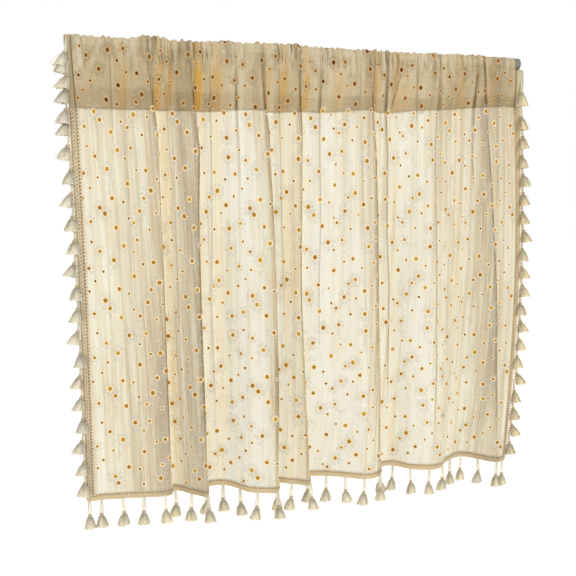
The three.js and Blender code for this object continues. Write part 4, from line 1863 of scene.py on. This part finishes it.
    def _cord(self, hand: int, draft: MeshDraft) -> None:
        """Lays one of the two cords that cross along the middle.

        Args:
            hand: 1 or -1, for the way that the cord swings first.
            draft: Draft that takes it.
        """
        along = np.arange(self.start + 0.6, self.seam - 0.6, self.period / 8)
        phase = 2 * math.pi * along / self.period
        path = np.stack([along, self.width / 2 + hand * self.style.sway * np.sin(phase)], 1)
        flat = 1.0 if self.turned else 0.75
        lift = (self.cord_lift + self.cord_cross * hand * np.cos(phase)) * flat
        twist = np.repeat(0.9 + 0.1 * np.cos(phase * 4), len(ROUND))[:, None]
        dye = dye_of(self.style.cord) * twist
        draft.lay(path, lift, self.style.cord_width, ROUND, dye, turned=self.turned)

    def _row(self, inward: float, ring: Array, draft: MeshDraft, **thread: object) -> None:
        """Repeats one loop of thread along the braid.

        Args:
            inward: The row's place in from the outer edge.
            ring: Line of the loop, round its own middle.
            draft: Draft that takes it.
            thread: The width, section, dye and closed that MeshDraft.lay asks for.
        """
        for along in np.arange(self.start + 2.7, self.seam - 2, self.style.loop_pitch):
            draft.lay(np.array([along, inward]) + ring, self.loop_lift, turned=self.turned, **thread)


@dataclass(frozen=True)
class TasselShape:
    """Sizes and colours of one tassel, hung from its cords' knot at the origin."""

    cord_length: float = 19.0
    cord_spread: float = 3.2
    cord_thread: float = 0.62
    cords: int = 5
    head_radius: float = 3.2
    head_length: float = 4.6
    skirt_length: float = 19.4
    hem_radius: float = 10.2
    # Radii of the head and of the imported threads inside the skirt, at even steps down them.
    head: tuple[float, ...] = (0.5, 0.78, 0.9, 0.96, 1.0, 1.0, 0.98, 0.94, 0.9, 0.86, 0.84)
    core: tuple[float, ...] = (2.8, 4.9, 6.7, 8.2)
    sides: int = 12
    flatness: float = 0.62
    strands: int = 80
    wisps: int = 7
    strand_radius: float = 0.5
    cord_colour: str = "#FFFDF2"
    head_colour: str = "#E2D6B6"
    core_colour: str = "#FFF9E8"
    strand_colours: tuple[str, ...] = ("#FFFDF2", "#FFFAEA", "#FFFFF8", "#F8F0DC", "#E4D9BC")

    def strands_of(self, draw: np.random.Generator) -> list[tuple[Array, float, str]]:
        """Paths of the skirt's strands.

        Args:
            draw: Source of their differences.

        Returns:
            For each strand its path, radius and colour.
        """
        top = -self.cord_length - self.head_length + 1.2
        slant = draw.uniform(-0.12, 0.12)
        made = []
        for k in range(self.strands):
            spread = draw.uniform(0.8, 1.0)
            angle = k * GOLDEN_ANGLE + draw.uniform(-0.2, 0.2)
            wisp = 1.0 if k < self.strands - self.wisps else draw.uniform(1.1, 1.5)
            reach = self.hem_radius * spread * wisp
            length = self.skirt_length * draw.uniform(0.9, 1.03) * (1.0 if wisp == 1 else 0.93)
            t = np.linspace(0, 1, 6)
            flare = (0.38 + 0.62 * t ** 0.85) * reach
            flare[0] = self.head_radius * 0.85 * spread
            curl = draw.uniform(-0.5, 0.5, 2)
            x = math.cos(angle) * flare + curl[0] * np.sin(t * math.pi) + curl[1] * t * t
            y = math.sin(angle) * flare * self.flatness + curl[1] * np.sin(t * math.pi * 0.8)
            z = top - t * length
            z[-1] += slant * x[-1]
            colour = self.strand_colours[draw.integers(len(self.strand_colours))]
            made.append((np.stack([x, y, z], 1), self.strand_radius * draw.uniform(0.8, 1.15), colour))
        return made

    def draft(self, seed: int) -> MeshDraft:
        """Makes one tassel.

        Args:
            seed: Tells its strands from those of others.

        Returns:
            Its draft, in its own frame.
        """
        draw = np.random.default_rng(seed)
        draft = MeshDraft()
        pale = dye_of(self.cord_colour)
        for k in range(self.cords):
            share = k / (self.cords - 1) - 0.5
            t = np.linspace(0, 1, 5)
            bow = np.sin(t * math.pi) * draw.uniform(-0.35, 0.35)
            aside = share * 2 * self.cord_spread * (0.4 + 0.6 * t) + bow
            forward = draw.uniform(-0.8, 0.8) * t
            path = np.stack([aside, forward, 1.2 - (self.cord_length + 1.2) * t], 1)
            draft.add(*tube(path, self.cord_thread, 4), dye=pale * draw.uniform(0.85, 1.0))
        self._head(draft)
        core_top = -self.cord_length - self.head_length
        z = core_top - np.linspace(0, self.skirt_length * 0.9, len(self.core))
        self._lathe(z, np.array(self.core), dye_of(self.core_colour), draft)
        for path, radius, colour in self.strands_of(draw):
            # Painted shade under the head, where packed threads shadow each other.
            depth = np.repeat(np.interp(np.arange(len(path)), (0, 1, 3), (0.7, 0.9, 1.0)), 3)[:, None]
            draft.add(*tube(path, np.linspace(1.0, 0.75, len(path)) * radius, 3),
                      dye=dye_of(colour) * depth ** np.array([1.0, 1.1, 1.3]))
        return draft

    def _head(self, draft: MeshDraft) -> None:
        """Winds the head: turns of thread round the cords' ends.

        Args:
            draft: Draft that takes it.
        """
        turns = len(self.head)
        z = 0.8 - self.cord_length - np.linspace(0, 1, turns) * self.head_length
        odd = np.arange(turns) % 2
        dark = np.repeat(1 - 0.22 * odd, self.sides)[:, None]
        radii = np.array(self.head) * self.head_radius + 0.14 * odd
        self._lathe(z, radii, dye_of(self.head_colour) * dark, draft)

    def _lathe(self, z: Array, radii: Array, dye: Array, draft: MeshDraft) -> None:
        """Turns a profile round the tassel's axis.

        Args:
            z: Heights of its rings.
            radii: Their radii.
            dye: Colour of the shape or of each point, painted shade included.
            draft: Draft that takes it.
        """
        turn = np.linspace(0, 2 * math.pi, self.sides, endpoint=False)
        circle = np.stack([np.cos(turn), np.sin(turn) * (0.5 + 0.5 * self.flatness)], 1)
        heights = np.broadcast_to(z[:, None, None], (len(z), self.sides, 1))
        rings = np.concatenate([radii[:, None, None] * circle, heights], -1)
        draft.add(rings.reshape(-1, 3), ring_faces(len(z), self.sides)[:, ::-1], dye=dye)


@dataclass(frozen=True)
class Hang:
    """How the tassels of one edge hang.

    places are those of their knots, from the upper or the left end of the braid, and inset is
    how far in from its outer edge they lie. The cords and the skirts tilt out by their angles,
    in radians, lean_from times as much at the upper end as further on. shade is the share of
    red, green and blue that the threads keep.
    """

    places: tuple[float, ...]
    inset: float
    cord_length: float
    cord_spread: float
    cord_tilt: float
    skirt_tilt: float
    lean_from: float
    shade: Triple


# Each edge's shade is painted light and shade of its tassels: the bottom ones lighter, the right ones darker
# and yellower.
# The heading is folded to the front with its braid, so the left braid has more tassels there.
HANGS = {
    Side.LEFT: Hang((1, 10, 32, 52, 80) + tuple(97.7 + 34.5 * k for k in range(17)),
                    -0.8, 19.0, 1.4, 0.08, 0.24, 1.5, (0.99, 0.99, 0.99)),
    Side.BOTTOM: Hang((4,) + tuple(22.5 + 33.2 * k for k in range(29)) + (965,),
                      1.1, 23.0, 3.8, 0.0, 0.0, 1.0, (1.02, 1.01, 0.98)),
    Side.RIGHT: Hang((33,) + tuple(73 + 32.4 * k for k in range(19)),
                     -1.8, 19.0, 1.6, -0.1, -0.2, 0.35, (1.0, 0.96, 0.84)),
}


@dataclass
class TasselRow:
    """Tassels sewn behind a braid's outer edge, hung by their own cords."""

    surface: ClothSurface
    side: Side
    shape: TasselShape = TasselShape()
    variants: int = 5
    lift: float = 0.9
    side_forward: float = 0.12
    cord_sway: float = 0.06
    skirt_sway: float = 0.12
    top_reach: float = 4.9
    top_inset: float = 4.5
    # Places between which the top inset of the knots goes to nothing.
    inset_fade: Pair = (35.0, 80.0)
    lean_reach: float = 260.0

    def build(self) -> bpy.types.Object:
        """Makes the row of tassels.

        Returns:
            The piece.
        """
        hang = HANGS[self.side]
        shape = replace(self.shape, cord_length=hang.cord_length, cord_spread=hang.cord_spread)
        shapes = [shape.draft(seed) for seed in range(self.variants)]
        points = [np.concatenate(d.points) for d in shapes]
        dyes = [np.concatenate(d.values["dye"]) for d in shapes]
        draw = np.random.default_rng(len(self.side.value))
        row = MeshDraft()
        for k, knot in enumerate(self._knots()):
            which = (k * 2 + k // 3) % self.variants
            # The edge's painted light and shade, and a random tone for each tassel.
            tone = np.array(hang.shade) * draw.uniform(0.94, 1.04)
            row.add(self._hang(points[which], knot, k), *shapes[which].faces, dye=dyes[which] * tone)
        cotton = ThreadFinish(f"cotton_tassel_{self.side.value}", glow=0.5, mottle=(0.9, 1.08)).build()
        tassels = row.to_object(f"tassels_{self.side.value}", cotton)
        return tassels

    def _knots(self) -> Array:
        """Where the tassels hang from.

        Returns:
            A point for each tassel, in the row frame.
        """
        surface, hang = self.surface, HANGS[self.side]
        places = np.array(hang.places)
        lift = np.full(len(places), self.lift)
        if self.side is Side.BOTTOM:
            return surface.place(np.stack([places, np.full(len(places), hang.inset), lift], 1))
        column = 0.0 if self.side is Side.LEFT else surface.width
        top = surface.height_of(surface.first["turn"] - 1, column) + self.top_reach
        inset = hang.inset + self.top_inset * (1 - smooth_step(*self.inset_fade, places))
        return surface.from_side(np.stack([inset, top - places, lift], 1), self.side is Side.LEFT)

    def _hang(self, points: Array, knot: Array, k: int) -> Array:
        """Hangs a tassel from its knot, with its skirt splayed outward on the side edges.

        Args:
            points: The tassel in its own frame.
            knot: Where it hangs from.
            k: Its number in the row.

        Returns:
            Its points in the row frame.
        """
        x, y, z = points.T
        x = x * (1 if k % 2 else -1)
        y = y * (1 if math.sin(1.3 * k) > 0 else -1)
        hang = HANGS[self.side]
        further = float(smooth_step(0, self.lean_reach, np.array(hang.places[k])))
        lean = hang.lean_from + (1 - hang.lean_from) * further
        bend = lean * (hang.skirt_tilt - hang.cord_tilt) + self.skirt_sway * math.sin(4.1 * k)
        below = np.minimum(z + hang.cord_length, 0)
        x, z = x + below * math.sin(bend), z + below * (math.cos(bend) - 1)
        tilt = lean * hang.cord_tilt + self.cord_sway * math.sin(2.4 * k)
        c, s = math.cos(tilt), math.sin(tilt)
        x, z = x * c + z * s, -x * s + z * c
        forward = 0.0 if self.side is Side.BOTTOM else -self.side_forward
        c, s = math.cos(forward), math.sin(forward)
        y, z = y * c - z * s, y * s + z * c
        return knot + np.stack([x, y, z], 1)


# ---------------------------------------------------------------- rod, studio and camera


@dataclass
class Rod:
    """Finishes of the tension rod and its end caps, whose CAD meshes stay."""

    enamel: EnamelFinish = EnamelFinish()
    rubber: RubberFinish = RubberFinish()

    def dress(self, frame: dict) -> None:
        """Gives the CAD parts their finishes.

        Args:
            frame: The loaded frame.
        """
        enamel, rubber = self.enamel.build(), self.rubber.build()
        for name, finish in (("rod", enamel), ("rod_cap_left", rubber), ("rod_cap_right", rubber)):
            mesh = frame["nodes"][name].data
            mesh.materials.clear()
            mesh.materials.append(finish)


@dataclass
class Studio:
    """Pale room, soft lamps and the camera. Places and sizes are in metres, angles in degrees."""

    floor_z: float = -1.05
    floor_half: float = 9.0
    floor_gleam: float = 0.25
    # Size of the floor paper's tooth, far coarser than a real one.
    tooth: float = 1 / 60
    sky: float = 0.86
    # Linear, and a little warm.
    daylight: tuple[float, ...] = (1.0, 0.99, 0.97, 1.0)
    # Name, place, width and watts of each lamp. They point at the middle of the cloth.
    lamps: tuple[tuple[str, Triple, float, float], ...] = (
        ("key_front", (0.9, -2.2, 0.6), 2.2, 20.0),
        ("back_left", (-1.6, 1.5, 0.5), 2.0, 16.0),
        ("top_fill", (0.37, -0.3, 1.9), 1.6, 4.0),
    )
    middle: Triple = (0.37, 0.0, -0.35)
    place: Triple = (0.0511, -1.0916, -0.2097)
    aim: Triple = (82.03, 0.0, -14.34)
    lens: float = 43.75

    def build(self) -> None:
        """Makes floor, world, lamps and camera."""
        self._floor()
        self._world()
        for name, place, width, watts in self.lamps:
            self._lamp(name, place, width, watts)
        data = bpy.data.cameras.new("camera")
        data.lens, data.sensor_width = self.lens, 36.0
        camera = bpy.data.objects.new("camera", data)
        camera.location = self.place
        camera.rotation_euler = [math.radians(a) for a in self.aim]
        bpy.context.scene.collection.objects.link(camera)
        bpy.context.scene.camera = camera
        bpy.context.scene.view_settings.view_transform = "Standard"

    def _floor(self) -> None:
        """A plain pale floor that keeps a soft shadow."""
        near, far = -self.floor_half, self.floor_half
        mesh = bpy.data.meshes.new("floor")
        square = [(x, y, self.floor_z) for x, y in ((near, near), (far, near), (far, far), (near, far))]
        mesh.from_pydata(square, [], [(0, 1, 2, 3)])
        material, add = blank_material("floor_white_paper")
        where = add("TexCoord", out="Object")
        tooth = add("TexNoise", {"Vector": where, "Scale": 1 / self.tooth})
        white = add("ValToRGB", {0: tooth}, stops=((0.3, "#F6F6F4"), (0.7, "#FAFAF8")))
        face = add("BsdfDiffuse", {"Color": white})
        # The camera sees the paper a little brighter than it is lit.
        seen = add("Math", {0: add("LightPath", out="Is Camera Ray"), 1: self.floor_gleam},
                   operation="MULTIPLY")
        gleam = add("Emission", {"Color": linear("#FFFFFF"), "Strength": seen})
        add("OutputMaterial", {"Surface": add("AddShader", {0: face, 1: gleam})})
        mesh.materials.append(material)
        floor = bpy.data.objects.new("floor", mesh)
        bpy.context.scene.collection.objects.link(floor)
        floor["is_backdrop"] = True

    def _world(self) -> None:
        """Even daylight on the object, and plain white where a ray meets the sky directly."""
        world = bpy.data.worlds.new("daylight")
        world.use_nodes = True
        world.node_tree.nodes.clear()
        add = partial(add_node, world.node_tree)
        seen = add("LightPath", out="Is Camera Ray")
        for ray in ("Is Glossy Ray", "Is Transmission Ray"):
            seen = add("Math", {0: seen, 1: add("LightPath", out=ray)}, operation="MAXIMUM")
        light = add("Background", {"Color": self.daylight, "Strength": self.sky})
        white = add("Background", {"Color": linear("#FFFFFF"), "Strength": 1.0})
        whole = add("MixShader", {0: seen, 1: light, 2: white})
        add("OutputWorld", {"Surface": whole})
        bpy.context.scene.world = world

    def _lamp(self, name: str, place: Triple, width: float, watts: float) -> None:
        """Adds one soft lamp.

        Args:
            name: Its name.
            place: Where it stands.
            width: Its width.
            watts: Its power.
        """
        data = bpy.data.lights.new(name, "AREA")
        data.shape, data.size, data.energy = "DISK", width, watts
        lamp = bpy.data.objects.new(name, data)
        lamp.location = place
        away = lamp.location - Vector(self.middle)
        lamp.rotation_euler = away.to_track_quat("Z", "Y").to_euler()
        bpy.context.scene.collection.objects.link(lamp)


def corners() -> list[list[float]]:
    """Both corners of the shown object's box, as plain lists."""
    return [[round(float(c), 5) for c in corner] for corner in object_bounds()]


def report(piece: bpy.types.Object) -> bpy.types.Object:
    """Logs the name, faces and size in millimetres of one finished piece, and returns it."""
    LOG.info("%s %d %s", piece.name, len(piece.data.polygons), [round(s / MM) for s in piece.dimensions])
    return piece


def main() -> None:
    """Builds every piece round the CAD frame."""
    logging.basicConfig(level=logging.INFO, format="%(name)s %(message)s")
    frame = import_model()
    Rod().dress(frame)
    drape = Drape()
    surface = ClothSurface(drape, Gathers(drape))
    LOG.info("flat cloth %.0f x %.0f mm", surface.width, surface.length)
    sheet = report(GauzeSheet(surface).build())
    trims = [report(piece) for piece in Embroidery(surface).build()]
    trims.append(report(SeamStitches(surface).build()))
    trims += [report(Braid(surface, side).build()) for side in Side]
    trims += [report(TasselRow(surface, side).build()) for side in Side]
    Studio().build()


if __name__ == "__main__":
    main()
